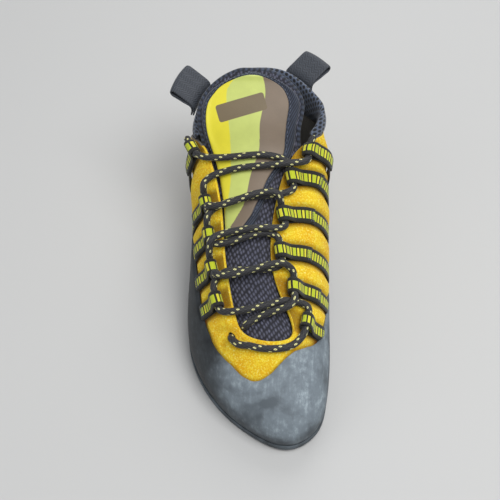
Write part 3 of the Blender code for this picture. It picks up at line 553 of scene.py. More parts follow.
class TongueSurface:
    """The tongue's surface, from its end under the vamp to its free top."""

    round_top = 0.80
    round_foot = 0.06
    tip = 0.999
    step = 0.002

    def __init__(self) -> None:
        """Ties the sections to the throat's edges and lays a smooth curve through them."""
        foot, free = ([self.loose(*row) for row in table] for table in (TONGUE_FOOT, TONGUE_FREE))
        rows = np.array(foot + [self.tucked(*row) for row in TONGUE_THROAT] + free)
        knots = chord_knots(rows[:, 3:6])
        self.curve = Curve(knots / knots[-1], rows)

    @staticmethod
    def loose(along: float, side: float, height: float, half: float, drop: float) -> Array:
        """A section that lies free, from one row of its table.

        Args:
            along: Share of the shoe's length.
            side: Its middle, in ball widths.
            height: Its middle's height, in instep heights.
            half: Its half width, in ball widths.
            drop: How far its edges hang below its middle, in ball widths.

        Returns:
            Its lateral edge, middle and medial edge in one row.
        """
        width = SIZES.ball_width
        middle = np.array([side * width, SIZES.heel_back - along * SIZES.length, 0.0])
        middle[2] = height * SIZES.instep_height - SIZES.leather - SIZES.gap
        reach = np.array([half * width, 0.0, 0.0])
        fall = np.array([0.0, 0.0, drop * width])
        return np.concatenate([middle - reach - fall, middle, middle + reach - fall])

    @staticmethod
    def tucked(along: float, crown: float) -> Array:
        """A section whose edges lie under the throat's edges, from one row of its table.

        Args:
            along: Share of the shoe's length.
            crown: How far its middle rises, in ball widths.

        Returns:
            Its lateral edge, middle and medial edge in one row.
        """
        edges = []
        for side in Side:
            place = LAST.place_along(along, side)
            up = 1.0 - SIZES.tongue_tuck / LAST.length(place)
            edges.append(LAST.offset(place, up, -SIZES.leather - SIZES.tongue_gap))
        middle = (edges[0] + edges[1]) / 2 + np.array([0.0, 0.0, crown * SIZES.ball_width])
        return np.concatenate([edges[0], middle, edges[1]])

    def section(self, share: Array, part: Array) -> Array:
        """Points of the curves across the tongue through its edges and its middle.

        Args:
            share: Shares of the length.
            part: Places across, from -1 to 1.

        Returns:
            One point for each pair.
        """
        share, part = np.broadcast_arrays(np.asarray(share, float), np.asarray(part, float))
        rows = self.curve.at(share.ravel()).reshape(*share.shape, 3, 3)
        weights = np.stack([part * (part - 1) / 2, 1 - part * part, part * (part + 1) / 2], axis=-1)
        return np.sum(rows * weights[..., None], axis=-2)

    def length(self) -> float:
        """The tongue's length, going by its upper part."""
        return float(np.linalg.norm(self.at(0.9, 0.0) - self.at(0.5, 0.0))) / 0.4

    def half_width(self, share: Array) -> Array:
        """Half the tongue's width, in metres."""
        return np.linalg.norm(self.section(share, 1.0) - self.section(share, -1.0), axis=-1) / 2

    def at(self, share: Array, across: Array, out: Array | float = 0.0) -> Array:
        """Points of the surface or over it.

        Args:
            share: Shares of the length.
            across: Shares of the half width, medial positive.
            out: How far out of the surface.

        Returns:
            One point for each of them.
        """
        share, across = np.broadcast_arrays(np.asarray(share, float), np.asarray(across, float))
        top = np.maximum(0.0, (share - self.round_top) / (1 - self.round_top))
        foot = np.maximum(0.0, 1 - share / self.round_foot)
        part = across * np.sqrt(np.maximum(0.0, 1 - top**2.6)) * np.sqrt(1 - 0.6 * foot**2)
        along = self.section(share + self.step, part) - self.section(share - self.step, part)
        sideways = self.section(share, part + self.step) - self.section(share, part - self.step)
        normal = unit(np.cross(sideways, along))
        return self.section(share, part) + normal * np.asarray(out)[..., None]

    def over(self, x: float, y: float) -> Triple:
        """The surface over a spot of the floor.

        Args:
            x: The spot's place across the shoe.
            y: Its place along it.

        Returns:
            The share of the length, the share of the half width and the height there.
        """
        low, high, share, part = 0.0, 1.0, 0.5, 0.0
        for _ in range(24):
            share = (low + high) / 2
            row = self.curve.at(share).reshape(3, 3)
            part = float(np.clip((x - row[1, 0]) / (row[2, 0] - row[0, 0]) * 2, -1.0, 1.0))
            if self.section(share, part)[1] < y:
                low = share
            else:
                high = share
        return share, part, float(self.section(share, part)[2])


TONGUE = TongueSurface()


class Graph:
    """The node graph of one material, with a Principled shader at its end."""

    def __init__(self, name: str) -> None:
        """Starts a material with its shader alone."""
        self.material = bpy.data.materials.new(name)
        self.material.use_nodes = True
        self.tree = self.material.node_tree

    @cached_property
    def place(self) -> NodeSocket:
        """The place on the shoe, in metres."""
        return self.add("TexCoord").outputs["Object"]

    @cached_property
    def weave(self) -> tuple[NodeSocket, NodeSocket]:
        """The places across the cloth or round it, and along it, in the piece's own measure."""
        parts = self.add("SeparateXYZ", self.add("UVMap", uv_map="weave")).outputs
        return parts["X"], parts["Y"]

    def feed(self, node: Node, inputs: dict[str | int, object]) -> None:
        """Links or sets inputs of a node.

        Args:
            node: The node.
            inputs: For each input a node, one of its outputs, a hex colour or a value.
        """
        for key, value in inputs.items():
            source = value.outputs[0] if isinstance(value, Node) else value
            if isinstance(source, NodeSocket):
                self.tree.links.new(source, node.inputs[key])
            else:
                node.inputs[key].default_value = linear(source) if isinstance(source, str) else source

    def add(self, kind: str, *first: object, stops: tuple = (), **named: object) -> Node:
        """Adds a node with its settings and links.

        Args:
            kind: The node's type without its prefix, and its operation after a space.
            *first: What goes into its first inputs.
            stops: Places and colours of a colour ramp.
            **named: Further inputs by their names, and the node's own options in small letters.

        Returns:
            The node.
        """
        kind, _, operation = kind.partition(" ")
        made = self.tree.nodes.new("ShaderNode" + kind)
        if operation:
            made.operation = operation
        for name in [name for name in named if name.islower()]:
            setattr(made, name, named.pop(name))
        for i, (place, colour) in enumerate(stops):
            elements = made.color_ramp.elements
            element = elements[i] if i < len(elements) else elements.new(place)
            element.position = place
            element.color = linear(colour) if isinstance(colour, str) else (colour, colour, colour, 1.0)
        self.feed(made, dict(enumerate(first)))
        self.feed(made, {name.replace("_", " "): value for name, value in named.items()})
        return made

    def finish(self, **inputs: object) -> Material:
        """Feeds the shader's inputs by their names and gives the material."""
        shader = self.tree.nodes["Principled BSDF"]
        self.feed(shader, {name.replace("_", " "): value for name, value in inputs.items()})
        return self.material


def linear(hexcode: str) -> tuple[float, float, float, float]:
    """An sRGB colour such as #F2C200 as linear red, green, blue and alpha."""
    channels = [int(hexcode[i : i + 2], 16) / 255 for i in (1, 3, 5)]
    made = [c / 12.92 if c <= 0.04045 else ((c + 0.055) / 1.055) ** 2.4 for c in channels]
    return (*made, 1.0)


def per_mm(size: float) -> float:
    """Scale of a texture in object space, for features of that many millimetres."""
    return 1000.0 / size


class Finish:
    """A finish that makes its material once."""

    made: dict[str, Material] = {}

    def material(self) -> Material:
        """The finish's material."""
        name = type(self).__name__
        if name not in Finish.made:
            Finish.made[name] = self.build(Graph(name))
        return Finish.made[name]

    def build(self, graph: Graph) -> Material:
        """Lays out the material's nodes."""
        raise NotImplementedError


@dataclass(frozen=True)
class SplitSuede(Finish):
    """Split cowhide dyed through and buffed to a short nap: matt and warm, with painted shade beside the
    straps, above the rand and in the creases.
    """

    bright: str = "#FFE63C"
    deep: str = "#EEB11A"
    # painted sheen: the pale colour of the nap's tips, scattered by the grain
    pale: str = "#FFFAC8"
    # painted shade: the colour of the suede beside the straps, above the rand and in the creases
    shade: str = "#7A4303"
    grain_mm: float = 1.1  # clumps of nap, drawn coarser than the real 0.4 mm so that they show
    nap_mm: float = 0.45
    mottle_mm: float = 14.0

    def build(self, graph: Graph) -> Material:
        """Mottled yellow with pale nap tips of painted sheen, painted shade where the upper's attribute says,
        and a nap in relief.
        """
        add, place = graph.add, graph.place
        grain = add("TexNoise", place, Scale=per_mm(self.grain_mm), Detail=3.0, Roughness=0.6)
        nap = add("TexNoise", place, Scale=per_mm(self.nap_mm), Detail=2.0)
        mottle = add("TexNoise", place, Scale=per_mm(self.mottle_mm), Detail=2.0)
        broad = add("ValToRGB", mottle, stops=((0.38, 0.0), (0.68, 1.0)))
        fine = add("ValToRGB", grain, stops=((0.42, 0.0), (0.59, 1.0)))
        mixed = add("Math MULTIPLY", broad, 0.4)
        spread = add("Math MULTIPLY_ADD", fine, 0.6, mixed)
        soaked = add("MixRGB", spread, self.bright, self.deep)
        # painted sheen on the tips of the nap
        tips = add("ValToRGB", grain, stops=((0.26, 0.55), (0.42, 0.0)))
        dyed = add("MixRGB", tips, soaked, self.pale)
        # painted shade, from the upper's attribute
        hollow = add("Attribute", attribute_name="hollow")
        shaded = add("MixRGB", hollow.outputs["Fac"], dyed, self.shade)
        both = add("Math MULTIPLY_ADD", nap, 0.35, grain)
        relief = add("Bump", Height=both, Strength=0.9, Distance=0.0007)
        return graph.finish(
            Base_Color=shaded, Normal=relief, Roughness=0.86, Specular_IOR_Level=0.22, Sheen_Weight=0.35,
            Sheen_Roughness=0.45, Sheen_Tint="#FFE08A"
        )


@dataclass(frozen=True)
class Grained(Finish):
    """Base of the finishes that are two close tones in a fine grain."""

    colour: str
    tone: str
    grain_mm: float
    detail: float = 2.0
    stops: tuple[Pair, ...] = ((0.0, 0.0), (1.0, 1.0))
    relief: float = 0.0
    roughness: float = 0.95
    sheen: float = 0.0

    def build(self, graph: Graph) -> Material:
        """One tone scattered in the other, with the grain in relief."""
        add = graph.add
        grain = add("TexNoise", graph.place, Scale=per_mm(self.grain_mm), Detail=self.detail)
        dyed = add("MixRGB", add("ValToRGB", grain, stops=self.stops), self.colour, self.tone)
        relief = add("Bump", Height=grain, Strength=self.relief, Distance=0.0004)
        return graph.finish(
            Base_Color=dyed, Normal=relief, Roughness=self.roughness, Sheen_Weight=self.sheen
        )


@dataclass(frozen=True)
class Microfibre(Grained):
    """Brushed microfibre lining: pale grey and dead matt, slightly uneven."""

    colour: str = "#7C766C"
    tone: str = "#57524A"
    grain_mm: float = 0.8
    detail: float = 3.0
    relief: float = 0.3
    sheen: float = 0.2


@dataclass(frozen=True)
class BoardFelt(Grained):
    """Needle felt on fibreboard, for the footbed: charcoal with a scatter of pale lint."""

    colour: str = "#34353A"
    tone: str = "#5A5B60"
    grain_mm: float = 1.2
    detail: float = 4.0
    stops: tuple[Pair, ...] = ((0.5, 0.0), (0.75, 1.0))
    relief: float = 0.4


@dataclass(frozen=True)
class SewingThread(Grained):
    """Bonded nylon thread: two plies of dark slate, seen as a change of tone, with a slight gloss."""

    colour: str = "#6A7284"
    tone: str = "#3E4552"
    grain_mm: float = 0.8
    roughness: float = 0.45


@dataclass(frozen=True)
class GoldThread(SewingThread):
    """The same thread dyed to match the suede."""

    colour: str = "#F2C63A"
    tone: str = "#D29A1C"


@dataclass(frozen=True)
class RandRubber(Finish):
    """Calendered climbing rubber, buffed before gluing: dark, scuffed and chalked over the toes, with painted
    light that is lighter where it faces up and darker on the lateral side.
    """

    dark: str = "#111315"
    # the colour of scuffs and of painted light
    worn: str = "#78828A"
    chalk: str = "#B9C7CF"
    cloud_mm: float = 24.0
    wisp_mm: float = 5.0
    grit_mm: float = 0.7  # drawn coarser than the real 0.2 mm, as on the sole
    scratch_mm: float = 2.2

    def build(self, graph: Graph) -> Material:
        """Scuffs and painted light where the rand's attribute says, clouded with chalk, and fine buffing
        grit.
        """
        add, place = graph.add, graph.place
        # scuffs and painted light, from the rand's attribute
        wear = add("Attribute", attribute_name="wear").outputs["Fac"]
        cloud = add("TexNoise", place, Scale=per_mm(self.cloud_mm), Detail=4.0, Distortion=0.3)
        wisp = add("TexNoise", place, Scale=per_mm(self.wisp_mm), Detail=6.0, Roughness=0.65)
        scratches = []
        for turn, scale in (((0.4, 0.0, 0.9), (1.0, 0.12, 0.4)), ((0.2, 0.3, -0.7), (0.9, 0.16, 0.5))):
            drawn = add("Mapping", place, Rotation=turn, Scale=scale)
            scratches.append(add("TexNoise", drawn, Scale=per_mm(self.scratch_mm), Detail=4.0))
        grit = add("TexNoise", place, Scale=per_mm(self.grit_mm), Detail=3.0)
        patches = add("ValToRGB", cloud, stops=((0.32, 0.0), (0.58, 1.0)))
        wisps = add("ValToRGB", wisp, stops=((0.38, 0.0), (0.66, 1.0)))
        patchy_wear_and_light = add("Math MULTIPLY", patches, wear)
        based = add("Math MULTIPLY_ADD", wear, 0.60, patchy_wear_and_light, use_clamp=True)
        grey = add("MixRGB", based, self.dark, self.worn)
        dusted = add("Math MULTIPLY", wisps, patchy_wear_and_light)
        lines = add("ValToRGB", add("Math MAXIMUM", *scratches), stops=((0.50, 0.30), (0.66, 1.0)))
        dust = add("Math MULTIPLY", dusted, lines)
        speckle = add("ValToRGB", grit, stops=((0.35, 0.7), (0.65, 1.0)))
        spread = add("Math MULTIPLY", dust, speckle)
        chalked = add("MixRGB", spread, grey, self.chalk)
        rough = add("Math MULTIPLY_ADD", based, 0.22, 0.52)
        relief = add("Bump", Height=grit, Strength=0.25, Distance=0.0003)
        return graph.finish(Base_Color=chalked, Normal=relief, Roughness=rough, Specular_IOR_Level=0.32)


@dataclass(frozen=True)
class SoleRubber(Finish):
    """Smooth sheet rubber with ground edges: near black, paler where the edge was sanded."""

    dark: str = "#1F2123"
    ground: str = "#5F686F"
    grit_mm: float = 0.6
    dust_mm: float = 9.0

    def build(self, graph: Graph) -> Material:
        """Dark sheet underneath, and a sanded grey on its edge and lip."""
        add, place = graph.add, graph.place
        facing = add("SeparateXYZ", add("NewGeometry").outputs["True Normal"])
        edge = add("MapRange", facing.outputs["Z"], From_Min=-0.8, From_Max=-0.3)
        grit = add("TexNoise", place, Scale=per_mm(self.grit_mm), Detail=3.0)
        dust = add("TexNoise", place, Scale=per_mm(self.dust_mm), Detail=4.0)
        patches = add("ValToRGB", dust, stops=((0.30, 0.3), (0.6, 1.0)))
        share = add("Math MULTIPLY", edge, patches)
        mixed = add("MixRGB", share, self.dark, self.ground)
        relief = add("Bump", Height=grit, Strength=0.3, Distance=0.0003)
        return graph.finish(Base_Color=mixed, Normal=relief, Roughness=0.62, Specular_IOR_Level=0.4)


@dataclass(frozen=True)
class LadderWebbing(Finish):
    """Polyester webbing woven with a ladder of lime and yellow blocks between black selvedges."""

    black: str = "#23231F"
    lime: str = "#D2DE2A"
    yellow: str = "#F5ED3C"
    field_mm: float = 2.75  # half width of the stretch between the selvedges
    repeat_mm: float = 17.0
    rib_mm: float = 0.9
    # one repeat: the share of it where each bar or block starts, and its colour
    blocks: tuple[tuple[float, str], ...] = (
        (0.00, "lime"), (0.15, "black"), (0.20, "yellow"), (0.29, "black"), (0.34, "lime"), (0.45, "black"),
        (0.49, "yellow"), (0.56, "black"), (0.62, "lime"), (0.79, "black"), (0.84, "yellow"), (0.94, "black"),
    )

    def build(self, graph: Graph) -> Material:
        """Blocks by place along the webbing, selvedges by place across it, ribs in relief."""
        add = graph.add
        across, along = graph.weave
        share = add("Math FRACT", add("Math MULTIPLY", along, 1 / self.repeat_mm))
        stops = tuple((start, getattr(self, colour)) for start, colour in self.blocks)
        ladder = add("ValToRGB", share, stops=stops)
        ladder.color_ramp.interpolation = "CONSTANT"
        field = add("Math LESS_THAN", add("Math ABSOLUTE", across), self.field_mm)
        woven = add("MixRGB", field, self.black, ladder)
        turns = [add("Math MULTIPLY", way, 2 * math.pi / self.rib_mm) for way in (along, across)]
        cloth = add("Math MULTIPLY", *(add("Math SINE", turn) for turn in turns))
        yarn = add("Math MULTIPLY_ADD", cloth, 0.12, 0.88)
        shaded = add("MixRGB", 1.0, woven, yarn, blend_type="MULTIPLY")
        relief = add("Bump", Height=cloth, Strength=0.5, Distance=0.00025)
        return graph.finish(
            Base_Color=shaded, Normal=relief, Roughness=0.62, Specular_IOR_Level=0.35, Sheen_Weight=0.15
        )


@dataclass(frozen=True)
class BraidedLace(Finish):
    """Braided polyester sheath over a core: black, with two pale tracer yarns that show in dashes."""

    black: str = "#1E1E20"
    grey: str = "#3A3A3C"
    tracer: str = "#EDE9A2"
    pitch_mm: float = 25.0  # one turn of a yarn round the lace
    yarns: int = 8  # each way: the real sheath has more, drawn coarser so that they show

    def build(self, graph: Graph) -> Material:
        """Two sets of yarns that cross. The pale ones show where they pass over."""
        add = graph.add
        around, along = graph.weave
        run = add("Math MULTIPLY", along, 1 / self.pitch_mm)
        yarns, bulges = [], []
        for way in ("ADD", "SUBTRACT"):
            turns = add("Math MULTIPLY", add(f"Math {way}", run, around), float(self.yarns))
            yarns.append(add("Math FLOOR", turns))
            bulges.append(add("Math SUBTRACT", add("Math FRACT", turns), 0.5))
        bulge, cross = bulges
        over = add("Math FLOORED_MODULO", add("Math ADD", *yarns), 2.0)
        number = add("Math FLOORED_MODULO", yarns[0], self.yarns / 2)
        passed = add("Math MULTIPLY", add("Math LESS_THAN", number, 0.5), over)
        curve = add("Math MULTIPLY", bulge, bulge)
        crest = add("Math SUBTRACT", 0.5, add("Math MULTIPLY_ADD", cross, cross, curve))
        lit = add("ValToRGB", crest, stops=((0.1, 0.0), (0.45, 1.0)))
        round_share = add("MapRange", crest, From_Min=0.22, From_Max=0.30)
        fleck = add("Math MULTIPLY", passed, round_share)
        apart = add("Math GREATER_THAN", add("Math ABSOLUTE", bulge), 0.07)
        shown = add("Math MULTIPLY", fleck, apart)
        dark = add("MixRGB", lit, self.black, self.grey)
        woven = add("MixRGB", shown, dark, self.tracer)
        relief = add("Bump", Height=crest, Strength=0.6, Distance=0.0004)
        return graph.finish(
            Base_Color=woven, Normal=relief, Roughness=0.6, Specular_IOR_Level=0.35, Sheen_Weight=0.1
        )


@dataclass(frozen=True)
class KnittedMesh(Finish):
    """Warp-knitted nylon mesh over thin foam: near black, flecked with slate where the yarns shine."""

    hole: str = "#1C1D28"
    yarn: str = "#80829A"
    cell_mm: float = 2.1  # drawn coarser than the real 1.5 mm

    def build(self, graph: Graph) -> Material:
        """Leaf-shaped flecks of yarn with dark holes between them."""
        add = graph.add
        weave = add("UVMap", uv_map="weave")
        scaled = add(
            "Mapping", weave, Rotation=(0.0, 0.0, 0.5), Scale=(1 / self.cell_mm, 0.6 / self.cell_mm, 1.0)
        )
        cells = add("TexVoronoi", scaled, Scale=1.0, Randomness=0.35, voronoi_dimensions="2D", feature="F1")
        open_share = add("ValToRGB", cells.outputs["Distance"], stops=((0.12, 1.0), (0.50, 0.0)))
        shimmer = add("TexNoise", weave, Scale=0.55, Detail=2.0)
        tone = add("Math MULTIPLY", open_share, shimmer)
        knitted = add("MixRGB", tone, self.hole, self.yarn)
        relief = add("Bump", Height=open_share, Strength=0.7, Distance=0.0006)
        return graph.finish(Base_Color=knitted, Normal=relief, Roughness=0.75, Sheen_Weight=0.2)


@dataclass(frozen=True)
class SpacerMesh(Finish):
    """Polyester spacer mesh over foam: dark grey-blue with long six-sided cells."""

    hole: str = "#12151B"
    yarn: str = "#5C677C"
    cell_mm: float = 3.3  # drawn coarser than the real 2.5 mm
    stretch: float = 1.25  # how much wider than high a cell is

    def build(self, graph: Graph) -> Material:
        """Three sets of ribs at 60 degrees, whose sum leaves six-sided holes."""
        add = graph.add
        across, along = graph.weave
        total = 0.0
        for turn in (30, 90, 150):
            size = 4 * math.pi / (math.sqrt(3) * self.cell_mm)
            wide = size * math.cos(math.radians(turn)) / self.stretch
            high = size * math.sin(math.radians(turn))
            up = add("Math MULTIPLY", along, high)
            both = add("Math MULTIPLY_ADD", across, wide, up)
            wave = add("Math COSINE", both)
            total = add("Math ADD", wave, total)
        rims = add("MapRange", total, From_Min=0.55, From_Max=-0.85)
        strands = add("TexNoise", graph.place, Scale=per_mm(0.7))
        tone = add("Math MULTIPLY_ADD", strands, 0.8, 0.55)
        shown = add("Math MULTIPLY", rims, tone, use_clamp=True)
        knitted = add("MixRGB", shown, self.hole, self.yarn)
        relief = add("Bump", Height=rims, Strength=0.6, Distance=0.0006)
        return graph.finish(Base_Color=knitted, Normal=relief, Roughness=0.7, Sheen_Weight=0.25)


@dataclass(frozen=True)
class RibbedFabric(Finish):
    """Ribbed polyester over foam, for the padded facing and its binding: navy black with fine ribs."""

    dark: str = "#171B24"
    light: str = "#505B73"
    rib_mm: float = 1.6  # drawn coarser than the real 0.6 mm so that the ribs show
    relief: float = 0.45
    roughness: float = 0.72
    sheen: float = 0.25

    def lean(self, graph: Graph) -> Node:
        """The distance across the ribs, in millimetres: they run at a slant."""
        across, along = graph.weave
        return graph.add("Math MULTIPLY_ADD", along, 0.45, across)

    def tone(self, graph: Graph, rib: Node) -> Node:
        """The share of the lighter colour: the ribs, with a slight unevenness."""
        lint = graph.add("TexNoise", graph.place, Scale=per_mm(5.0), Detail=3.0)
        return graph.add("Math MULTIPLY", rib, lint)

    def build(self, graph: Graph) -> Material:
        """Ribs as a wave of the colour and of the height."""
        add = graph.add
        ribs = add("Math MULTIPLY", self.lean(graph), 2 * math.pi / self.rib_mm)
        rib = add("Math MULTIPLY_ADD", add("Math SINE", ribs), 0.5, 0.5)
        dyed = add("MixRGB", self.tone(graph, rib), self.dark, self.light)
        relief = add("Bump", Height=rib, Strength=self.relief, Distance=0.0003)
        return graph.finish(
            Base_Color=dyed, Normal=relief, Roughness=self.roughness, Sheen_Weight=self.sheen
        )


@dataclass(frozen=True)
class RibbedTape(RibbedFabric):
    """Herringbone polyester tape of the pull loops: black, with ribs that turn back across it."""

    dark: str = "#1D2024"
    light: str = "#474D58"
    relief: float = 0.4
    roughness: float = 0.6
    sheen: float = 0.2

    def lean(self, graph: Graph) -> Node:
        """The distance across the ribs, which turn back every 3 mm."""
        across, along = graph.weave
        return graph.add("Math ADD", along, graph.add("Math PINGPONG", across, 3.0))

    def tone(self, graph: Graph, rib: Node) -> Node:
        """The ribs alone."""
        return rib


@dataclass(frozen=True)
class PrintedFilm(Finish):
    """Printed and laminated fabric of the panel: satin bands of yellow, lime and taupe."""

    yellow: str = "#EFE33A"
    lime: str = "#CFDA78"
    taupe: str = "#867665"
    bar: str = "#7D6E55"
    weave_mm: float = 0.9
    bar_half: Pair = (16.6, 5.9)  # half sizes of the rounded bar, in millimetres
    bar_round: float = 1.8

    def build(self, graph: Graph) -> Material:
        """Bands by signed distances from their edges, and a plain rounded bar."""
        add, place = graph.add, graph.place
        yellow_edge = add("Attribute", attribute_name="yellow_edge").outputs["Fac"]
        taupe_edge = add("Attribute", attribute_name="taupe_edge").outputs["Fac"]
        past_yellow = add("MapRange", yellow_edge, From_Min=-0.35, From_Max=0.35)
        past_lime = add("MapRange", taupe_edge, From_Min=-0.15, From_Max=0.15)
        first = add("MixRGB", past_yellow, self.yellow, self.lime)
        bands = add("MixRGB", past_lime, first, self.taupe)
        local = add("SeparateXYZ", add("UVMap", uv_map="bar"))
        beyond = []
        for axis, half in zip(("X", "Y"), self.bar_half):
            out = add("Math ABSOLUTE", local.outputs[axis])
            past = add("Math SUBTRACT", out, half - self.bar_round)
            beyond.append(add("Math MAXIMUM", past, 0.0))
        corner = add("VectorMath LENGTH", add("CombineXYZ", beyond[0], beyond[1]))
        within = add(
            "MapRange", corner.outputs["Value"], From_Min=self.bar_round - 0.1,
            From_Max=self.bar_round + 0.1, To_Min=1.0, To_Max=0.0
        )
        printed = add("MixRGB", within, bands, self.bar)
        stain = add("TexNoise", place, Scale=per_mm(8.0), Detail=4.0)
        tone = add("MapRange", stain, To_Min=0.86, To_Max=1.06)
        used = add("MixRGB", 1.0, printed, tone, blend_type="MULTIPLY")
        weave = add("TexNoise", place, Scale=per_mm(self.weave_mm), Detail=2.0)
        relief = add("Bump", Height=weave, Strength=0.2, Distance=0.0003)
        return graph.finish(
            Base_Color=used, Normal=relief, Roughness=0.5, Specular_IOR_Level=0.4, Sheen_Weight=0.1
        )


@dataclass(frozen=True)
class PaintedBoard(Finish):
    """The plain pale floor that the shoe stands on: matt emulsion."""

    colour: str = "#C9C9C8"

    def build(self, graph: Graph) -> Material:
        """Pale grey with a hardly visible roller texture."""
        roller = graph.add("TexNoise", graph.place, Scale=per_mm(3.0), Detail=2.0)
        relief = graph.add("Bump", Height=roller, Strength=0.05, Distance=0.0003)
        return graph.finish(Base_Color=self.colour, Normal=relief, Roughness=0.85)


def dress(piece: Object, slot: str, *nodes: str) -> Object:
    """Puts a piece on the shoe's body.

    Args:
        piece: The piece.
        slot: Not used.
        *nodes: The solids that it stands for.

    Returns:
        The piece.
    """
    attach(piece, BODY)
    if nodes:
        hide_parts(*nodes)
    LOG.info("%s: %d faces for %s", piece.name, len(piece.data.polygons), ", ".join(nodes) or "trim")
    return piece


def make_mesh(
    name: str,
    points: Array,
    faces: list[tuple[int, ...]],
    uvs: dict[str, Array],
    finishes: tuple[Finish, ...],
    zones: Array | None = None,
    values: dict[str, Array] | None = None,
) -> Object:
    """A smooth closed mesh that faces outwards.

    Args:
        name: The object's name.
        points: One row for each vertex.
        faces: The vertices of each face.
        uvs: For each UV map, one row for each face's corners in turn.
        finishes: One for each material slot.
        zones: Each face's slot, or nothing for the first one all over.
        values: For each attribute, one value for each vertex.

    Returns:
        The object.
    """
    mesh = bpy.data.meshes.new(name)
    mesh.from_pydata(points.tolist(), [], faces)
    for label, corners in uvs.items():
        layer = mesh.uv_layers.new(name=label)
        layer.data.foreach_set("uv", np.asarray(corners, np.float32).ravel())
    for label, numbers in (values or {}).items():
        attribute = mesh.attributes.new(label, "FLOAT", "POINT")
        attribute.data.foreach_set("value", np.asarray(numbers, np.float32).ravel())
    for finish in finishes:
        mesh.materials.append(finish.material())
    if zones is not None:
        mesh.polygons.foreach_set("material_index", np.asarray(zones, np.int32))
    a, b, c, d = (points[[face[corner] for face in faces]] for corner in (0, 1, 2, -1))
    if np.sum(a * (np.cross(b, c) + np.cross(c, d))) < 0:
        mesh.flip_normals()
    mesh.shade_smooth()
    mesh.update()
    obj = bpy.data.objects.new(name, mesh)
    bpy.context.scene.collection.objects.link(obj)
    return obj


def grid_solid(
    name: str,
    grid: Array,
    *finishes: Finish,
    closed: bool = False,
    zones: Array | None = None,
    values: dict[str, Array] | None = None,
    **maps: Array,
) -> Object:
    """A solid from rings of points, each closed on itself.

    Args:
        name: The object's name.
        grid: Points by ring and by place in it.
        *finishes: One for each material slot.
        closed: Whether the last ring joins the first. Otherwise both get a cap.
        zones: The slot of the face after each point.
        values: For each attribute, one value for each point.
        **maps: UV maps by name, with one row and one column more than the grid.

    Returns:
        The object.
    """
    rings, count = grid.shape[:2]
    last = rings if closed else rings - 1
    i, j = (index.ravel() for index in np.meshgrid(np.arange(last), np.arange(count), indexing="ij"))
    k, m = (i + 1) % rings, (j + 1) % count
    quads = np.column_stack([i * count + j, k * count + j, k * count + m, i * count + m])
    faces = [tuple(quad) for quad in quads.tolist()]
    uvs = {}
    for label, table in maps.items():
        corners = np.stack([table[i, j], table[i + 1, j], table[i + 1, j + 1], table[i, j + 1]], axis=1)
        uvs[label] = corners.reshape(-1, 2)
    slots = None if zones is None else np.asarray(zones)[i, j]
    if not closed:
        for ring, turn in ((0, 1), (rings - 1, -1)):
            for n in range(1, count // 2):
                near, far = n, count - n
                quad = (near - 1, near, far - 1, far % count) if n > 1 else (0, 1, count - 1)
                faces.append(tuple(ring * count + corner for corner in dict.fromkeys(quad))[::turn])
        extra = sum(len(face) for face in faces[len(quads) :])
        for label, corners in uvs.items():
            uvs[label] = np.vstack([corners, np.full((extra, 2), 100.0)])
        if slots is not None:
            slots = np.append(slots, np.full(len(faces) - len(quads), slots[0]))
    flat = {label: np.asarray(numbers).ravel() for label, numbers in (values or {}).items()}
    return make_mesh(name, grid.reshape(-1, 3), faces, uvs, finishes, slots, flat)


def rounded_rim(outer: Array, inner: Array, count: int, rise: float) -> Array:
    """Points over the top of a wall from its outer face to its inner one.

    Args:
        outer: Points of the outer face, by place and up.
        inner: Points of the inner face.
        count: How many to add at each place.
        rise: How far the rim stands up.

    Returns:
        The points, by place and over the rim.
    """
    middle = (outer[:, -1] + inner[:, -1]) / 2
    half = (outer[:, -1] - inner[:, -1]) / 2
    upward = unit(outer[:, -1] - outer[:, -2]) * rise
    turns = np.linspace(0.0, np.pi, count + 2)[1:-1]
    return np.stack([middle + half * math.cos(t) + upward * math.sin(t) for t in turns], axis=1)


def cloth_map(grid: Array, column: int, origin: int) -> Array:
    """A UV map of distances round the rings and along them, in millimetres.

    Args:
        grid: Points by ring and by place in it.
        column: The place in the rings where the distances along are measured.
        origin: The place from which the distances round them count.

    Returns:
        Both distances, with one row and one column more than the grid.
    """
    steps = np.linalg.norm(np.diff(grid, axis=1, prepend=grid[:, :1]), axis=-1)
    beside = np.cumsum(steps, axis=1) * 1000
    cloth = np.zeros((len(grid) + 1, grid.shape[1] + 1, 2))
    cloth[:-1, :-1, 0] = beside - beside[:, origin : origin + 1]
    cloth[:-1, -1, 0] = cloth[:-1, -2, 0] + 1
    cloth[:-1, :, 1] = chord_knots(grid[:, column])[:, None] * 1000
    return cloth


def strap_distances(points: Array, loops: list[LaceLoop]) -> Array:
    """How far each point is from the middle line of the nearest strap.

    Args:
        points: Points in any grid.
        loops: The straps.

    Returns:
        One distance for each point.
    """
    flat = points.reshape(-1, 3)
    nearest = np.full(len(flat), 1.0)
    for loop in loops:
        for spot in loop.middle[::2]:
            nearest = np.minimum(nearest, np.linalg.norm(flat - spot, axis=1))
    return nearest.reshape(points.shape[:-1])


@dataclass(frozen=True)
class Crease:
    """A soft trough across the leather with a low ridge beside it.

    Its ends are shares of the length and of the wall.
    """

    side: Side
    start: Pair
    end: Pair
    depth: float = 0.0008
    width: float = 0.0026

    def fold(self, points: Array) -> tuple[Array, Array]:
        """The crease's effect on the leather.

        Args:
            points: Points of the leather in any grid.

        Returns:
            How far each moves out, and how deep it lies in the crease.
        """
        ends = []
        for along, up in (self.start, self.end):
            ends.append(LAST.skin(LAST.place_along(along, self.side, up=up), up))
        line = ends[1] - ends[0]
        length = np.linalg.norm(line)
        share = np.clip((points - ends[0]) @ line / length**2, 0.0, 1.0)
        nearest = ends[0] + share[..., None] * line
        distance = np.linalg.norm(points - nearest, axis=-1)
        taper = np.sin(np.pi * np.clip(share, 0.02, 0.98)) ** 0.6
        trough = np.exp(-((distance / self.width) ** 2)) * taper
        ridge = np.exp(-(((distance - 2.2 * self.width) / self.width) ** 2)) * taper
        return self.depth * (0.45 * ridge - trough), trough


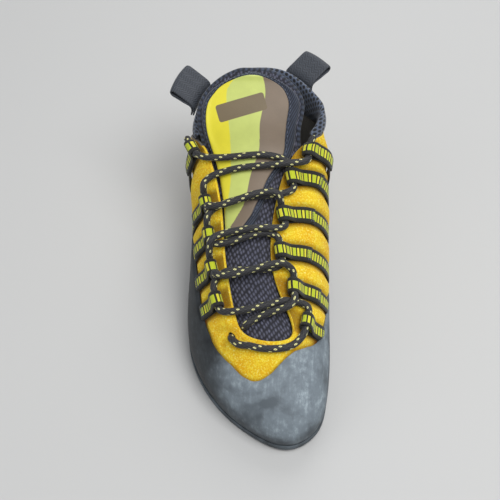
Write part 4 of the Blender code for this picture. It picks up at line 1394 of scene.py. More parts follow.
CREASES = (
    Crease(Side.LATERAL, (0.800, 0.66), (0.782, 0.80), 0.0006, 0.0020),
    Crease(Side.LATERAL, (0.752, 0.70), (0.770, 0.93), 0.0007, 0.0022),
    Crease(Side.LATERAL, (0.230, 0.46), (0.300, 0.66), 0.0009, 0.0034),
    Crease(Side.LATERAL, (0.150, 0.44), (0.215, 0.60), 0.0008, 0.0030),
    Crease(Side.LATERAL, (0.060, 0.48), (0.120, 0.56), 0.0006, 0.0026),
    Crease(Side.MEDIAL, (0.800, 0.93), (0.770, 0.96), 0.0005, 0.0018),
    Crease(Side.MEDIAL, (0.215, 0.44), (0.262, 0.66), 0.0009, 0.0034),
    Crease(Side.MEDIAL, (0.135, 0.46), (0.190, 0.62), 0.0008, 0.0030),
    Crease(Side.MEDIAL, (0.050, 0.50), (0.105, 0.57), 0.0006, 0.0026),
)


@dataclass
class Upper:
    """The suede upper, one closed wall that puffs out between the straps, with painted shade beside them,
    above the rand and in the creases.
    """

    loops: list[LaceLoop]
    places: int = 420
    rows: int = 54
    rim: int = 5
    puff: float = 0.0022
    rise: float = 0.0045
    pressed: float = 0.0003
    # painted shade on the suede: how dark it is beside a strap and above the rand, over what distance, and in
    # a crease
    strap_shade: Pair = (0.66, 0.0042)
    rand_shade: Pair = (0.60, 0.0026)
    crease_shade: float = 0.20
    slit_place: Pair = (0.785, 0.86)
    slit_length: float = 0.0085
    slit_width: float = 0.0056

    def shape(self, place: Array, up: Array) -> tuple[Array, Array]:
        """Points of the suede's face and the painted shade on each.

        Args:
            place: Places round the shoe.
            up: Shares of the wall.

        Returns:
            The points, and a share from 0, open, to 1, deep in a fold.
        """
        base = LAST.skin(place, up)
        half = SIZES.strap_width / 2
        distance = strap_distances(base, self.loops)
        above = (up - LAST.rand_top(place)) * LAST.length(place)
        below = (1 - up) * LAST.length(place)
        free = ease(above, 0.0, 0.004) * ease(below, 0.0002, 0.004)
        swell = ease(distance - half, 0.0, self.rise) * (1 - ease(distance, 0.012, 0.022))
        under = 1 - ease(distance, half - 0.001, half + 0.001)
        out = self.puff * swell * free - self.pressed * under * free
        # painted shade beside the straps, above the rand and in the creases
        hollow = self.strap_shade[0] * (1 - ease(distance - half, 0.0, self.strap_shade[1]))
        hollow = hollow + self.rand_shade[0] * (1 - ease(above, 0.0, self.rand_shade[1]))
        for crease in CREASES:
            moved, trough = crease.fold(base)
            out = out + moved * free
            hollow = hollow + self.crease_shade * trough
        return LAST.offset(place, up, out), np.clip(hollow, 0.0, 1.0)

    def build(self) -> Object:
        """The upper with its slit cut."""
        place = np.arange(self.places) / self.places
        top = LAST.leather_top(place)[:, None]
        up = top * np.linspace(0.0, 1.0, self.rows)[None, :]
        place = np.broadcast_to(place[:, None], up.shape)
        outer, hollow = self.shape(place, up)
        inner = LAST.offset(place, up, -SIZES.leather)
        inner[:, 0, 2] = outer[:, 0, 2]
        rim = rounded_rim(outer, inner, self.rim, SIZES.leather * 0.2)
        grid = np.concatenate([outer, rim, inner[:, ::-1]], axis=1)
        dark = np.pad(hollow, ((0, 0), (0, self.rim + self.rows)))
        # where the collar covers the rim, the lining starts at the rim itself
        lined = np.arange(grid.shape[1]) >= np.where(top < 0.985, self.rows - 1, self.rows + self.rim)
        zones, values = lined.astype(int), {"hollow": dark}
        upper = grid_solid(
            "suede_upper", grid, SplitSuede(), Microfibre(), closed=True, zones=zones, values=values
        )
        self.cut(upper)
        return dress(upper, "suede", "upper")

    def cut(self, upper: Object) -> None:
        """Cuts the lace's slit through the leather.

        Args:
            upper: The upper, whose mesh is replaced.
        """
        share, up = self.slit_place
        place = LAST.place_along(share, Side.LATERAL, up=up)
        around = unit(LAST.sample(LAST.around, place, up))
        upward = unit(LAST.sample(LAST.upward, place, up))
        outward = np.cross(around, upward)
        turns = full_turn(32)
        rings = []
        for depth in (-2, 2):
            along = np.outer(np.cos(turns), around) * self.slit_length / 2
            across = np.outer(np.sin(turns), upward) * self.slit_width / 2
            rings.append(LAST.skin(place, up) + along + across + outward * depth * SIZES.leather)
        cutter = grid_solid("slit_cutter", np.array(rings), SplitSuede())
        modifier = upper.modifiers.new("slit", "BOOLEAN")
        modifier.operation = "DIFFERENCE"
        modifier.object = cutter
        depsgraph = bpy.context.evaluated_depsgraph_get()
        mesh = bpy.data.meshes.new_from_object(upper.evaluated_get(depsgraph))
        upper.modifiers.clear()
        upper.data = mesh
        bpy.data.objects.remove(cutter)


@dataclass
class Rand:
    """The rubber rand, thinner towards its hand-trimmed top edge."""

    places: int = 480
    rows: int = 30
    skive: float = 0.0035
    edge: float = 0.55
    trim: float = 0.0003

    def build(self) -> Object:
        """The rand with its scuffs and painted light."""
        place = np.arange(self.places) / self.places
        turn = 2 * np.pi * place
        wave = np.sin(17 * turn + 1.1) + 0.6 * np.sin(31 * turn + 0.4) + 0.4 * np.sin(53 * turn)
        length = LAST.length(place)
        top = LAST.rand_top(place) + self.trim * (0.5 * wave - 0.6) / length
        share = np.sin(np.linspace(0.0, np.pi / 2, self.rows))
        up = top[:, None] * share[None, :]
        place = np.broadcast_to(place[:, None], up.shape)
        left = (top[:, None] - up) * length[:, None]
        thin = 1 - (1 - self.edge) * (1 - ease(left, 0.0, self.skive))
        outer = LAST.offset(place, up, SIZES.gap + SIZES.rand * thin)
        inner = LAST.offset(place, up, SIZES.gap)
        floor = LAST.skin(place[:, 0], 0.0)[:, 2]
        outer[:, 0, 2] = inner[:, 0, 2] = floor
        rim = rounded_rim(outer, inner, 3, SIZES.rand * 0.12)
        grid = np.concatenate([outer, rim, inner[:, :: -(self.rows // 6)]], axis=1)
        # scuffing over the toes, its line further back on the lateral side, and a little above the sole,
        # with painted light, lighter where the rubber faces up, and painted shade on the lateral side
        beside = grid[..., 0] + 0.004
        front = np.where(beside > 0, 1.0, 0.55) * beside - grid[..., 1]
        ahead = ease(front, 0.152, 0.184)
        # painted light: lighter where the rubber faces up
        level = ease(LAST.normal(place, up)[..., 2], -0.15, 0.75)
        level = np.pad(level, ((0, 0), (0, grid.shape[1] - self.rows)), mode="edge")
        # painted shade: darker on the lateral side
        sideways = 0.60 + 0.40 * ease(grid[..., 0], -0.030, 0.000)
        wear = ahead * (0.30 + 0.70 * level) * sideways
        low = 1 - ease(grid[..., 2], 0.006, 0.014)
        wear = np.maximum(wear, 0.02 + 0.10 * level + 0.14 * low)
        rand = grid_solid("rubber_rand", grid, RandRubber(), closed=True, values={"wear": wear})
        return dress(rand, "rand_rubber", "rand")


def shrunk_rings(ring: Array, shares: Array) -> Array:
    """Copies of an outline drawn in towards the line down its middle, one for each share of its width."""
    middle = (ring + np.roll(ring[::-1], 1, axis=0)) / 2
    return np.array([middle + (ring - middle) * share for share in shares])


@dataclass
class Outsole:
    """Smooth climbing rubber cut to the outline, with ground edges."""

    places: int = 480

    def ring(self, inset: float, lift: float) -> Array:
        """An outline of the sole moved in, at a height above its underside."""
        points, _ = LAST.outline(np.arange(self.places) / self.places, inset)
        return np.column_stack([points, sole_rise(points[:, 1]) + lift])

    def stack(self, rings: list[Array], inside: tuple[float, ...]) -> Array:
        """The rings with smaller ones that close them.

        Args:
            rings: Outlines from the lowest up.
            inside: How wide the smaller ones are, from the outside in.

        Returns:
            All the rings.
        """
        shares = np.array(inside)
        below = shrunk_rings(rings[0], shares)[::-1]
        above = shrunk_rings(rings[-1], shares)
        return np.concatenate([below, np.array(rings), above])

    def build(self) -> Object:
        """The outsole."""
        bevel, thickness = SIZES.sole_bevel, SIZES.sole
        rings = []
        for turn in np.linspace(0.0, np.pi / 2, 5):
            rings.append(self.ring(bevel * (1 - math.sin(turn)), bevel * (1 - math.cos(turn))))
        high = bevel / 2
        for turn in np.linspace(0.0, np.pi / 2, 5):
            rings.append(self.ring(high * (1 - math.cos(turn)), thickness - high * (1 - math.sin(turn))))
        grid = self.stack(rings, (0.97, 0.8, 0.4, 0.05))
        return dress(grid_solid("rubber_outsole", grid, SoleRubber()), "sole_rubber", "outsole")


@dataclass
class Insole(Outsole):
    """The felt-covered footbed, slightly dished."""

    places: int = 240
    dish: float = 0.0008

    def build(self) -> Object:
        """The footbed."""
        inset = SIZES.sole_lip + SIZES.rand + SIZES.leather + 3 * SIZES.gap
        low = SIZES.sole + SIZES.gap
        high = low + SIZES.insole
        rings = [self.ring(inset, low), self.ring(inset, high - 0.0006), self.ring(inset + 0.0004, high)]
        shares = (0.94, 0.86, 0.74, 0.58, 0.38, 0.18, 0.03)
        grid = self.stack(rings, shares)
        for i, share in enumerate(shares):
            grid[len(shares) + len(rings) + i, :, 2] -= self.dish * (1 - share**2)
        return dress(grid_solid("felt_footbed", grid, BoardFelt()), "footbed", "insole")


def collar_low(place: Array) -> Array:
    """Share of the wall where the collar's band starts, just above the leather."""
    return LAST.leather_top(place) + 2.5 * SIZES.gap / LAST.length(place)


def collar_face(share: Array) -> Array:
    """How far the collar's face stands out of the last at shares of the band's height."""
    return SIZES.collar_puff * np.sqrt(np.maximum(0.0, 1 - share**4)) * np.sin(np.pi * (share + 0.3) / 1.3)


@dataclass
class Collar:
    """The padded band of spacer mesh round the ankle, with a rounded rim."""

    around: int = 220
    rows: int = 18
    front: float = 0.250

    def build(self) -> Object:
        """The collar."""
        first = LAST.place_along(self.front, Side.MEDIAL) - 1.0
        last = LAST.place_along(self.front, Side.LATERAL)
        part = np.linspace(0.0, 1.0, self.around + 1)
        ends = np.minimum(part, 1 - part)
        fade = np.minimum(1.0, 0.3 + 6 * ends)[:, None]
        place = (first + (last - first) * part)[:, None]
        share = np.sin(0.5 * np.pi * np.linspace(0.0, 1.0, self.rows))[None, :]
        low = collar_low(place)
        up = low + (1 - low) * share
        place = np.broadcast_to(place, up.shape)
        swell = np.sqrt(np.maximum(0.0, 1 - share**4))
        pad = SIZES.collar_pad * (0.45 + 0.55 * np.minimum(1.0, 3 * share)) * (0.2 + 0.8 * swell)
        outer = LAST.offset(place, up, collar_face(share) * fade)
        inner = LAST.offset(place, up, -pad * (0.6 + 0.4 * fade))
        grid = np.concatenate([outer, inner[:, ::-1]], axis=1)
        weave = cloth_map(grid, self.rows // 2, 0)[..., ::-1]
        collar = grid_solid("mesh_collar", grid, SpacerMesh(), weave=weave)
        return dress(collar, "mesh", "collar")


@dataclass
class TongueLayer:
    """One layer of the tongue, with rounded edges."""

    name: str
    rows: tuple[Triple, ...]
    base: float
    thickness: float
    rounding: float
    crown: float = 0.0
    arch: Pair = (0.86, 2.4)
    under: "TongueLayer | None" = None
    along: int = 130
    across: int = 44

    def band(self, share: Array) -> tuple[Array, Array]:
        """The layer's edges.

        Args:
            share: Shares of the tongue's length.

        Returns:
            The lateral and the medial edge there, in half widths.
        """
        table = np.array(self.rows)
        knots = table[:, 0]
        if len(table) < 3:
            return np.interp(share, knots, table[:, 1]), np.interp(share, knots, table[:, 2])
        edges = []
        fine = np.linspace(knots[0], knots[-1], 200)
        for column in (1, 2):
            straight = np.interp(fine, knots, table[:, column])
            padded = np.pad(straight, 6, mode="reflect", reflect_type="odd")
            smooth = np.convolve(padded, np.hanning(13) / np.hanning(13).sum(), mode="same")[6:-6]
            edges.append(np.interp(share, fine, smooth))
        ahead = np.clip((share - self.arch[0]) / (knots[-1] - self.arch[0]), 0.0, 1.0)
        narrow = np.sqrt(np.maximum(0.0004, 1 - ahead ** self.arch[1]))
        middle = (edges[0] + edges[1]) / 2
        return middle + (edges[0] - middle) * narrow, middle + (edges[1] - middle) * narrow

    def heights(self, share: Array, across: Array) -> tuple[Array, Array]:
        """Heights of the layer's underside and top over the tongue.

        Args:
            share: Shares of the tongue's length.
            across: Places across, in half widths.

        Returns:
            The underside's heights and the top's.
        """
        left, right = self.band(share)
        fine = np.linspace(self.rows[0][0], self.rows[-1][0], 80)
        run = chord_knots(TONGUE.at(fine, 0.0))
        here = np.interp(share, fine, run)
        sides = np.minimum(across - left, right - across) * TONGUE.half_width(share)
        inside = np.clip(np.minimum(np.minimum(here, run[-1] - here), sides), 0.0, None)
        profile = 0.12 + 0.88 * np.sqrt(1 - (1 - np.minimum(1.0, inside / self.rounding)) ** 2)
        roll = self.crown * np.exp(-(((inside - 0.0032) / 0.0022) ** 2)) * ease(share, 0.70, 0.80)
        base = self.base + (self.under.heights(share, across)[1] if self.under else 0.0)
        lift = 0.5 * self.thickness * (1 - profile) if self.name == "mesh_tongue" else 0.0
        return base + lift, base + (self.thickness + roll) * profile

    def grid(self) -> tuple[Array, Array, Array]:
        """Points of the layer, and the share and the place across of each."""
        first, last = self.rows[0][0], self.rows[-1][0]
        share = first + (last - first) * (1 - np.cos(np.linspace(0.0, np.pi, self.along))) / 2
        left, right = (edge[:, None] for edge in self.band(share))
        turn = np.cos(np.linspace(0.0, np.pi, self.across))[None, :]
        across = left + (right - left) * (1 + turn) / 2
        share = np.broadcast_to(share[:, None], across.shape)
        low, high = self.heights(share, across)
        top = TONGUE.at(share, across, high)
        bottom = TONGUE.at(share, across, low)
        faces = ((top, bottom), (share, share), (across, across))
        return tuple(np.concatenate([face, back[:, ::-1]], axis=1) for face, back in faces)

    def build(
        self, finish: Finish, values: dict[str, Array] | None = None, **maps: Array
    ) -> Object:
        """The layer in one finish.

        Args:
            finish: Its finish.
            values: For each attribute, one value for each point.
            **maps: Further UV maps by name.

        Returns:
            The layer.
        """
        grid, _, _ = self.grid()
        weave = cloth_map(grid, self.across // 2, self.across // 2)
        return grid_solid(self.name, grid, finish, values=values, weave=weave, **maps)


# Rows of the padded facing and the panel on it: share of the tongue's length, left and right edges
FACING_ROWS = (
    (0.44, -0.80, -0.25), (0.50, -0.82, 0.20), (0.58, -0.82, 0.46), (0.66, -0.82, 0.62),
    (0.72, -0.84, 0.78), (0.80, -0.94, 0.93), (0.94, -0.95, 0.95), (0.990, -0.94, 0.94),
)
PANEL_ROWS = (
    (0.46, -0.83, -0.38), (0.52, -0.84, 0.04), (0.60, -0.84, 0.34), (0.67, -0.84, 0.50),
    (0.74, -0.83, 0.64), (0.82, -0.85, 0.73), (0.90, -0.83, 0.72), (0.978, -0.70, 0.64),
)
# Where the panel's yellow meets its lime and the lime its taupe, in the same shares
YELLOW_EDGE = (
    (0.46, -0.95), (0.529, -0.82), (0.594, -0.62), (0.648, -0.52), (0.733, -0.47), (0.828, -0.40),
    (0.932, -0.55),
)
TAUPE_EDGE = (
    (0.489, -0.60), (0.539, -0.27), (0.619, -0.05), (0.678, 0.03), (0.723, 0.10), (0.863, 0.23),
    (0.962, 0.28),
)


@dataclass
class Tongue:
    """The mesh tongue, its bound edge, its padded facing and the printed panel."""

    bar_centre: Triple = (-0.0122, -0.0257, 0.1120)
    bar_width: Triple = (28.2, 6.2, 6.5)
    bar_height: Triple = (-3.5, 8.5, 7.2)
    binding_radius: float = 0.0016
    binding_from: float = 0.66

    def layers(self) -> tuple[TongueLayer, TongueLayer, TongueLayer]:
        """The three layers from the inside out."""
        gap, thickness = SIZES.gap, SIZES.tongue
        whole = ((0.0, -1.0, 1.0), (TONGUE.tip, -1.0, 1.0))
        mesh = TongueLayer("mesh_tongue", whole, -thickness, thickness, 0.0016)
        facing = TongueLayer(
            "padded_facing", FACING_ROWS, 1.5 * gap, SIZES.facing, 0.0030, 0.0010, (0.90, 3.0)
        )
        thin = SIZES.panel
        panel = TongueLayer("printed_panel", PANEL_ROWS, gap / 2, thin, 0.0009, 0.0, (0.93, 2.6), facing)
        return mesh, facing, panel

    def past_edge(self, edge: tuple, share: Array, across: Array) -> Array:
        """How far points are past an edge between two colours.

        Args:
            edge: Shares of the tongue's length and places across, in half widths.
            share: The points' shares of the length.
            across: Their places across.

        Returns:
            The distances in millimetres, positive on the medial side.
        """
        table = np.array(edge)
        fine = np.linspace(table[0, 0], table[-1, 0], 160)
        curve = Curve(table[:, 0], table[:, 1:])
        places = curve.at(fine)[:, 0]
        length = 1000 * TONGUE.length()
        half = 1000 * TONGUE.half_width(share)
        nearest = np.full(share.shape, 1e3)
        for s, a in zip(fine, places):
            nearest = np.minimum(nearest, np.hypot((share - s) * length, (across - a) * half))
        side = across - np.interp(share, fine, places)
        return nearest * np.sign(side)

    def build_panel(self, layer: TongueLayer) -> Object:
        """The panel with its bands and its plain bar.

        Args:
            layer: The panel's layer.

        Returns:
            The panel.
        """
        grid, share, across = layer.grid()
        values = {
            "yellow_edge": self.past_edge(YELLOW_EDGE, share, across),
            "taupe_edge": self.past_edge(TAUPE_EDGE, share, across),
        }
        local = (grid - np.array(self.bar_centre)) * 1000
        bar = np.full((layer.along + 1, grid.shape[1] + 1, 2), 100.0)
        for axis, direction in enumerate((self.bar_width, self.bar_height)):
            bar[:-1, :-1, axis] = local @ unit(np.array(direction))
            bar[:-1, -1, axis] = bar[:-1, 0, axis]
        panel = layer.build(PrintedFilm(), values, bar=bar)
        return dress(panel, "panel", "tongue_panel")

    def build_binding(self) -> Object:
        """The ribbed binding sewn round the tongue's free edge."""
        rise = np.linspace(self.binding_from, TONGUE.tip - 0.004, 90)
        mid = -SIZES.tongue / 2
        left = TONGUE.at(rise, -1.0, mid)
        over = np.linspace(-1.0, 1.0, 24)[1:-1]
        top = TONGUE.at(np.full(22, TONGUE.tip - 0.003), over, mid)
        right = TONGUE.at(rise[::-1], 1.0, mid)
        line = evenly_spaced(np.vstack([left, top, right])[::3], 0.0012)
        grid, weave = tube_grid(line, self.binding_radius, 14)
        return dress(grid_solid("tongue_binding", grid, RibbedFabric(), weave=weave), "facing")

    def build(self) -> list[Object]:
        """The tongue's pieces."""
        mesh, facing, panel = self.layers()
        tongue = mesh.build(KnittedMesh())
        padded = facing.build(RibbedFabric())
        dress(tongue, "tongue_mesh", "tongue")
        dress(padded, "facing", "tongue_facing")
        return [tongue, padded, self.build_panel(panel), self.build_binding()]


def tube_grid(
    line: Array,
    radius: float,
    sides: int,
    tips: float = 0.0,
    squeeze: Pair = (0.0, 1.0),
) -> tuple[Array, Array]:
    """Rings of a round cord without twist.

    Args:
        line: Points of its middle.
        radius: Its radius.
        sides: Points in each ring.
        tips: How long its rounded ends are.
        squeeze: How long its flattened start is, and the share of the radius left there.

    Returns:
        The rings, and each corner's share of a turn and length in millimetres.
    """
    travel = unit(np.gradient(line, axis=0))
    side = unit(np.cross(travel[0], np.array([0.3, 0.2, 1.0])))
    turns = full_turn(sides)
    lengths = chord_knots(line)
    flat, thin = squeeze
    rings = []
    for point, direction, length in zip(line, travel, lengths):
        side = unit(side - direction * side.dot(direction))
        other = np.cross(direction, side)
        left = min(length, lengths[-1] - length)
        wide = radius
        if tips > 0 and left < tips:
            wide = radius * math.sqrt(max(0.06, 1 - (1 - left / tips) ** 2))
        if flat > 0:
            opened = float(ease(length, 0.4 * flat, 1.6 * flat))
            wide = min(wide, radius * (thin + (1 - thin) * opened))
        rings.append(point + wide * (np.outer(np.cos(turns), side) + np.outer(np.sin(turns), other)))
    weave = np.zeros((len(line) + 1, sides + 1, 2))
    weave[:, :, 0] = np.linspace(0.0, 1.0, sides + 1)[None, :]
    weave[:-1, :, 1] = lengths[:, None] * 1000
    return np.array(rings), weave


@dataclass
class Webbing:
    """A flat webbing or tape along a path drawn side on, with rounded selvedges."""

    width: float
    thickness: float
    step: float = 0.0008
    sides: int = 11

    def build(self, name: str, path: Array, spot: Callable, finish: Finish, phase: float = 0.0) -> Object:
        """Lays the webbing along a path.

        Args:
            name: The piece's name.
            path: Distances and heights of its middle line.
            spot: Turns distance, height and place across into points.
            finish: Its finish.
            phase: Where its pattern starts, in millimetres.

        Returns:
            The webbing.
        """
        flat = np.column_stack([path, np.zeros(len(path))])
        line = evenly_spaced(flat, self.step)[:, :2]
        travel = unit(np.gradient(line, axis=0))
        lean = np.column_stack([travel[:, 1], -travel[:, 0]]) * self.thickness / 2
        turn = np.cos(np.linspace(0.0, np.pi, self.sides))
        beside = turn * self.width / 2
        left = (1 - np.abs(turn)) * self.width / 2
        soft = 0.35 + 0.65 * np.sqrt(np.clip(1 - (1 - left / (self.thickness * 0.8)).clip(0) ** 2, 0, 1))
        faces = []
        for sign in (1, -1):
            high = line[:, None, :] + sign * lean[:, None, :] * soft[None, :, None]
            faces.append(spot(high[..., 0], high[..., 1], np.broadcast_to(beside, high.shape[:2])))
        grid = np.concatenate([faces[0], faces[1][:, ::-1]], axis=1)
        across = np.concatenate([beside, beside[::-1], beside[:1]]) * 1000
        along = chord_knots(grid[:, self.sides // 2]) * 1000 + phase
        weave = np.zeros((len(line) + 1, 2 * self.sides + 1, 2))
        weave[:, :, 0] = across[None, :]
        weave[:-1, :, 1] = along[:, None]
        return grid_solid(name, grid, finish, weave=weave)


@dataclass
class PullLoop:
    """A tape tab sewn to the collar's rim to pull the shoe on by."""

    side: Side
    along: float
    width: float = 0.0240
    reach: float = 0.0160
    sewn: float = 0.0070
    thickness: float = 0.0012
    opening: float = 0.0030
    lean: float = math.radians(70)

    def __post_init__(self) -> None:
        """Finds the loop's place on the rim."""
        self.place = LAST.place_along(self.along, self.side)
        around = LAST.sample(LAST.around, self.place, 1.0)
        upward = LAST.sample(LAST.upward, self.place, 1.0)
        self.stride = float(np.linalg.norm(around))
        self.outward = unit(np.cross(around, upward))
        self.upward = unit(upward)

    def spot(self, out: Array, up: Array, across: Array) -> Array:
        """Points over the collar.

        Args:
            out: How far out of its face.
            up: How far above its rim.
            across: How far beside the loop's middle.

        Returns:
            One point for each of them.
        """
        beside = self.place + across / self.stride
        rise = np.maximum(up, 0.0)[..., None] * self.upward
        free = LAST.skin(beside, 1.0) + out[..., None] * self.outward + rise
        low = float(collar_low(np.array([self.place]))[0])
        share = 1 + np.minimum(up, 0.0) / (float(LAST.length(self.place)) * (1 - low))
        level = 1 + np.minimum(up, 0.0) / LAST.length(beside)
        sewn = LAST.offset(beside, level, collar_face(np.clip(share, 0.0, 1.0)) + out)
        loose = ease(up, -0.0030, 0.0030)[..., None]
        return free * loose + (sewn + rise) * (1 - loose)

    def path(self) -> Array:
        """The tape's middle line: up the collar's face, round the fold and back."""
        steps = 7
        heading = self.lean * np.append(0.0, ease(np.arange(1, steps + 1), 1, 4))
        ahead = np.column_stack([np.sin(heading), np.cos(heading)])
        beside = np.column_stack([np.cos(heading), -np.sin(heading)])
        strides = ahead * (self.reach + self.sewn) / steps
        strides[0] = 3 * SIZES.gap + 1.5 * self.thickness, -self.sewn
        centres = np.cumsum(strides, axis=0)
        opened = self.opening / 2 * ease(np.arange(steps + 1), 2, steps)
        half = ((self.thickness + SIZES.gap) / 2 + opened)[:, None]
        turns = np.radians((30, 60, 90, 120, 150))[:, None]
        fold = centres[-1] + half[-1] * (ahead[-1] * np.sin(turns) - beside[-1] * np.cos(turns))
        near, far = centres - beside * half, centres + beside * half
        return np.vstack([near, fold, far[::-1]])[::-1]

    def build(self) -> Object:
        """The tape."""
        tape = Webbing(self.width, self.thickness, 0.0007, 15)
        made = tape.build(f"tape_{self.side.value}", self.path(), self.spot, RibbedTape())
        return dress(made, "tape", f"pull_loop_{self.side.value}")


def leather_height(x: float, y: float) -> float:
    """Height of the leather beside the throat over a spot of the floor.

    Args:
        x: The spot's place across the shoe.
        y: Its place along it.

    Returns:
        The height, or 0 over the throat itself.
    """
    along = (SIZES.heel_back - y) / SIZES.length
    for side in Side:
        place = LAST.place_along(along, side)
        top = LAST.points[int(round(place * LAST.places)) % LAST.places, LAST.ups // 2 :][::-1]
        if (x - top[0, 0]) * side.sign > -SIZES.lace_diameter:
            return float(np.interp(x * side.sign, top[:, 0] * side.sign, top[:, 2]))
    return 0.0


def lace_height(x: float, y: float) -> float:
    """Height of the middle line of a lace that lies on the shoe.

    Args:
        x: The place across the shoe.
        y: The place along it.

    Returns:
        The height there.
    """
    lift = SIZES.lace_diameter / 2 + 2 * SIZES.gap
    share, part, height = TONGUE.over(x, y)
    here = TONGUE.section(share, part)
    across = TONGUE.section(share, part + TONGUE.step) - here
    along = TONGUE.section(share + TONGUE.step, part) - here
    level = max(float(unit(np.cross(across, along))[2]), 0.5)
    padded = share > FACING_ROWS[0][0] - 0.03
    layers = 3 * SIZES.gap + SIZES.facing + SIZES.panel if padded else 0.0
    return max(height + (layers + lift) / level, leather_height(x, y) + 1.7 * lift)


def taut(points: Array, floor: Array) -> Array:
    """Heights of a cord pulled tight over a floor between two ends.

    Args:
        points: Points whose first and last stay where they are.
        floor: The lowest height at each point.

    Returns:
        The points at their new heights.
    """
    run = chord_knots(points[:, :2])
    heights = floor.copy()
    heights[0], heights[-1] = points[0, 2], points[-1, 2]
    hull = [0]
    for i in range(1, len(points)):
        while len(hull) > 1:
            a, b = hull[-2], hull[-1]
            rise = (heights[b] - heights[a]) * (run[i] - run[a])
            if rise < (heights[i] - heights[a]) * (run[b] - run[a]):
                hull.pop()
            else:
                break
        hull.append(i)
    made = points.copy()
    made[:, 2] = np.interp(run, run[hull], heights[hull])
    return made


@dataclass
class Lacing:
    """The two strands of the lace, laid through the loops from the toe up."""

    medial: list[LaceLoop]
    lateral: list[LaceLoop]
    stiffness: float = 3.7
    steps: int = 36
    sides: int = 16
    step: float = 0.0007
    start: Triple = (0.0050, 0.0030, 0.0030)
    slit_place: Pair = (0.785, 0.86)
    bar_distance: float = 0.0042
    tip: float = 0.0055

    def crossing(
        self, start: Array, out: Array, end: Array, back: Array, bend: float = 1.0
    ) -> Array:
        """A strand from one loop to the other, tight over the tongue.

        Args:
            start: The mouth that it leaves.
            out: The direction out of that mouth.
            end: The mouth that it reaches.
            back: The direction out of that one.
            bend: How much further than usual it goes straight on at its start.

        Returns:
            Its points.
        """
        reach = self.stiffness * SIZES.lace_diameter
        controls = (start, start + out * reach * bend, end + back * reach, end)
        t = np.linspace(0.0, 1.0, self.steps)[:, None]
        weights = ((1 - t) ** 3, 3 * t * (1 - t) ** 2, 3 * t * t * (1 - t), t**3)
        points = sum(weight * control for weight, control in zip(weights, controls))
        floor = np.array([lace_height(x, y) for x, y, _ in points])
        return taut(points, floor)

    def hump(self, over: Array, under: Array) -> Array:
        """Lifts a strand over another that it crosses.

        Args:
            over: Points of the upper strand.
            under: Points of the lower one.

        Returns:
            The upper strand's new points.
        """
        reach = SIZES.lace_diameter + 0.00005
        floor = over[:, 2].copy()
        for i in range(1, len(over) - 1):
            apart = np.linalg.norm(under[:, :2] - over[i, :2], axis=1)
            high = under[:, 2] + np.sqrt(np.maximum(0.0, reach**2 - apart**2))
            near = high[apart < reach]
            if len(near):
                floor[i] = max(floor[i], float(near.max()))
        lifted = taut(over, floor)
        soft = lifted.copy()
        soft[1:-1, 2] = (lifted[:-2, 2] + 2 * lifted[1:-1, 2] + lifted[2:, 2]) / 4
        return soft

    def pair(self, number: int) -> tuple[Array, Array]:
        """The two strands of one crossing.

        Args:
            number: Its number from the toe up, from 1.

        Returns:
            The strand out of the medial loop, and the one out of the lateral loop or the slit.
        """
        start, out = self.medial[number - 1].mouth(heelward=True)
        end, back = self.lateral[number - 1].mouth(heelward=False)
        first = self.crossing(start, out, end, back)
        far, back = self.medial[number].mouth(heelward=False)
        if number > 1:
            start, out = self.lateral[number - 2].mouth(heelward=True)
        else:
            place = LAST.place_along(self.slit_place[0], Side.LATERAL, up=self.slit_place[1])
            start = LAST.offset(place, 1.0, 0.0) + np.array(self.start)
            out = unit(far - start)
        second = self.crossing(start, out, far, back, 1.2)
        if number % 2:
            return first, self.hump(second, first)
        return self.hump(first, second), second

    def bar(self) -> Array:
        """The lace from inside its slit round the throat's toe end to the first medial loop."""
        share, up = self.slit_place
        begin = LAST.place_along(share, Side.LATERAL, up=up)
        entry, _ = self.medial[0].mouth(heelward=False)
        finish = LAST.place_along(LACE_LOOPS[Side.MEDIAL][0][0], Side.MEDIAL)
        over = SIZES.lace_diameter / 2 + 2 * SIZES.gap
        inside = LAST.offset(begin - 0.004, up - 0.02, -SIZES.leather - over)
        points = [inside, LAST.offset(begin - 0.001, up, -0.0002)]
        for i in range(1, 8):
            part = i / 9
            place = begin + (finish - begin) * part
            level = 1 - self.bar_distance / float(LAST.length(place))
            height = up + (level - up) * float(ease(part, 0.0, 0.25))
            points.append(LAST.offset(place, height, over))
        return np.array(points + [entry])

    def strand(self, pieces: list[Array]) -> Array:
        """One even line through the parts of a strand."""
        points = np.vstack(pieces)
        keep = np.concatenate([[True], np.linalg.norm(np.diff(points, axis=0), axis=1) > 0.0003])
        return evenly_spaced(points[keep], self.step)

    def end(self, loop: LaceLoop) -> Array:
        """The sealed end just beyond a top loop."""
        near, out = loop.mouth(heelward=True)
        down = np.array([0.0, 0.0, -0.0008])
        return np.array([near, near + out * self.tip * 0.5, near + out * self.tip + down])

    def build(self) -> Object:
        """Both strands as one lace."""
        pairs = [self.pair(number) for number in range(1, len(self.lateral) + 1)]
        strands = []
        for squeeze in ((0.0, 1.0), (0.0046, 0.30)):
            line = self.strand(self.follow(pairs, len(strands)))
            grid, weave = tube_grid(line, SIZES.lace_diameter / 2, self.sides, 0.0015, squeeze)
            strands.append(grid_solid("braided_lace", grid, BraidedLace(), weave=weave))
        with bpy.context.temp_override(active_object=strands[0], selected_editable_objects=strands):
            bpy.ops.object.join()
        names = [f"lace_crossing_{i + 1}" for i in range(len(pairs))]
        return dress(strands[0], "lace", "lace_bar", *names)

    def tucked_end(self, start: Array) -> Array:
        """The second strand's first points, where the leather's edge pins it flat on the tongue.

        Args:
            start: Where the first crossing starts.

        Returns:
            The points.
        """
        place = LAST.place_along(self.slit_place[0] - 0.012, Side.LATERAL)
        depth = -SIZES.leather - SIZES.tongue_gap / 2
        length = float(LAST.length(place))
        under = LAST.offset(place, 1 - 0.0034 / length, depth)
        edge = LAST.offset(place, 1.0, depth)
        return np.array([under, edge, (edge + start) / 2 - np.array([0.0, 0.0, 0.0003]), start])

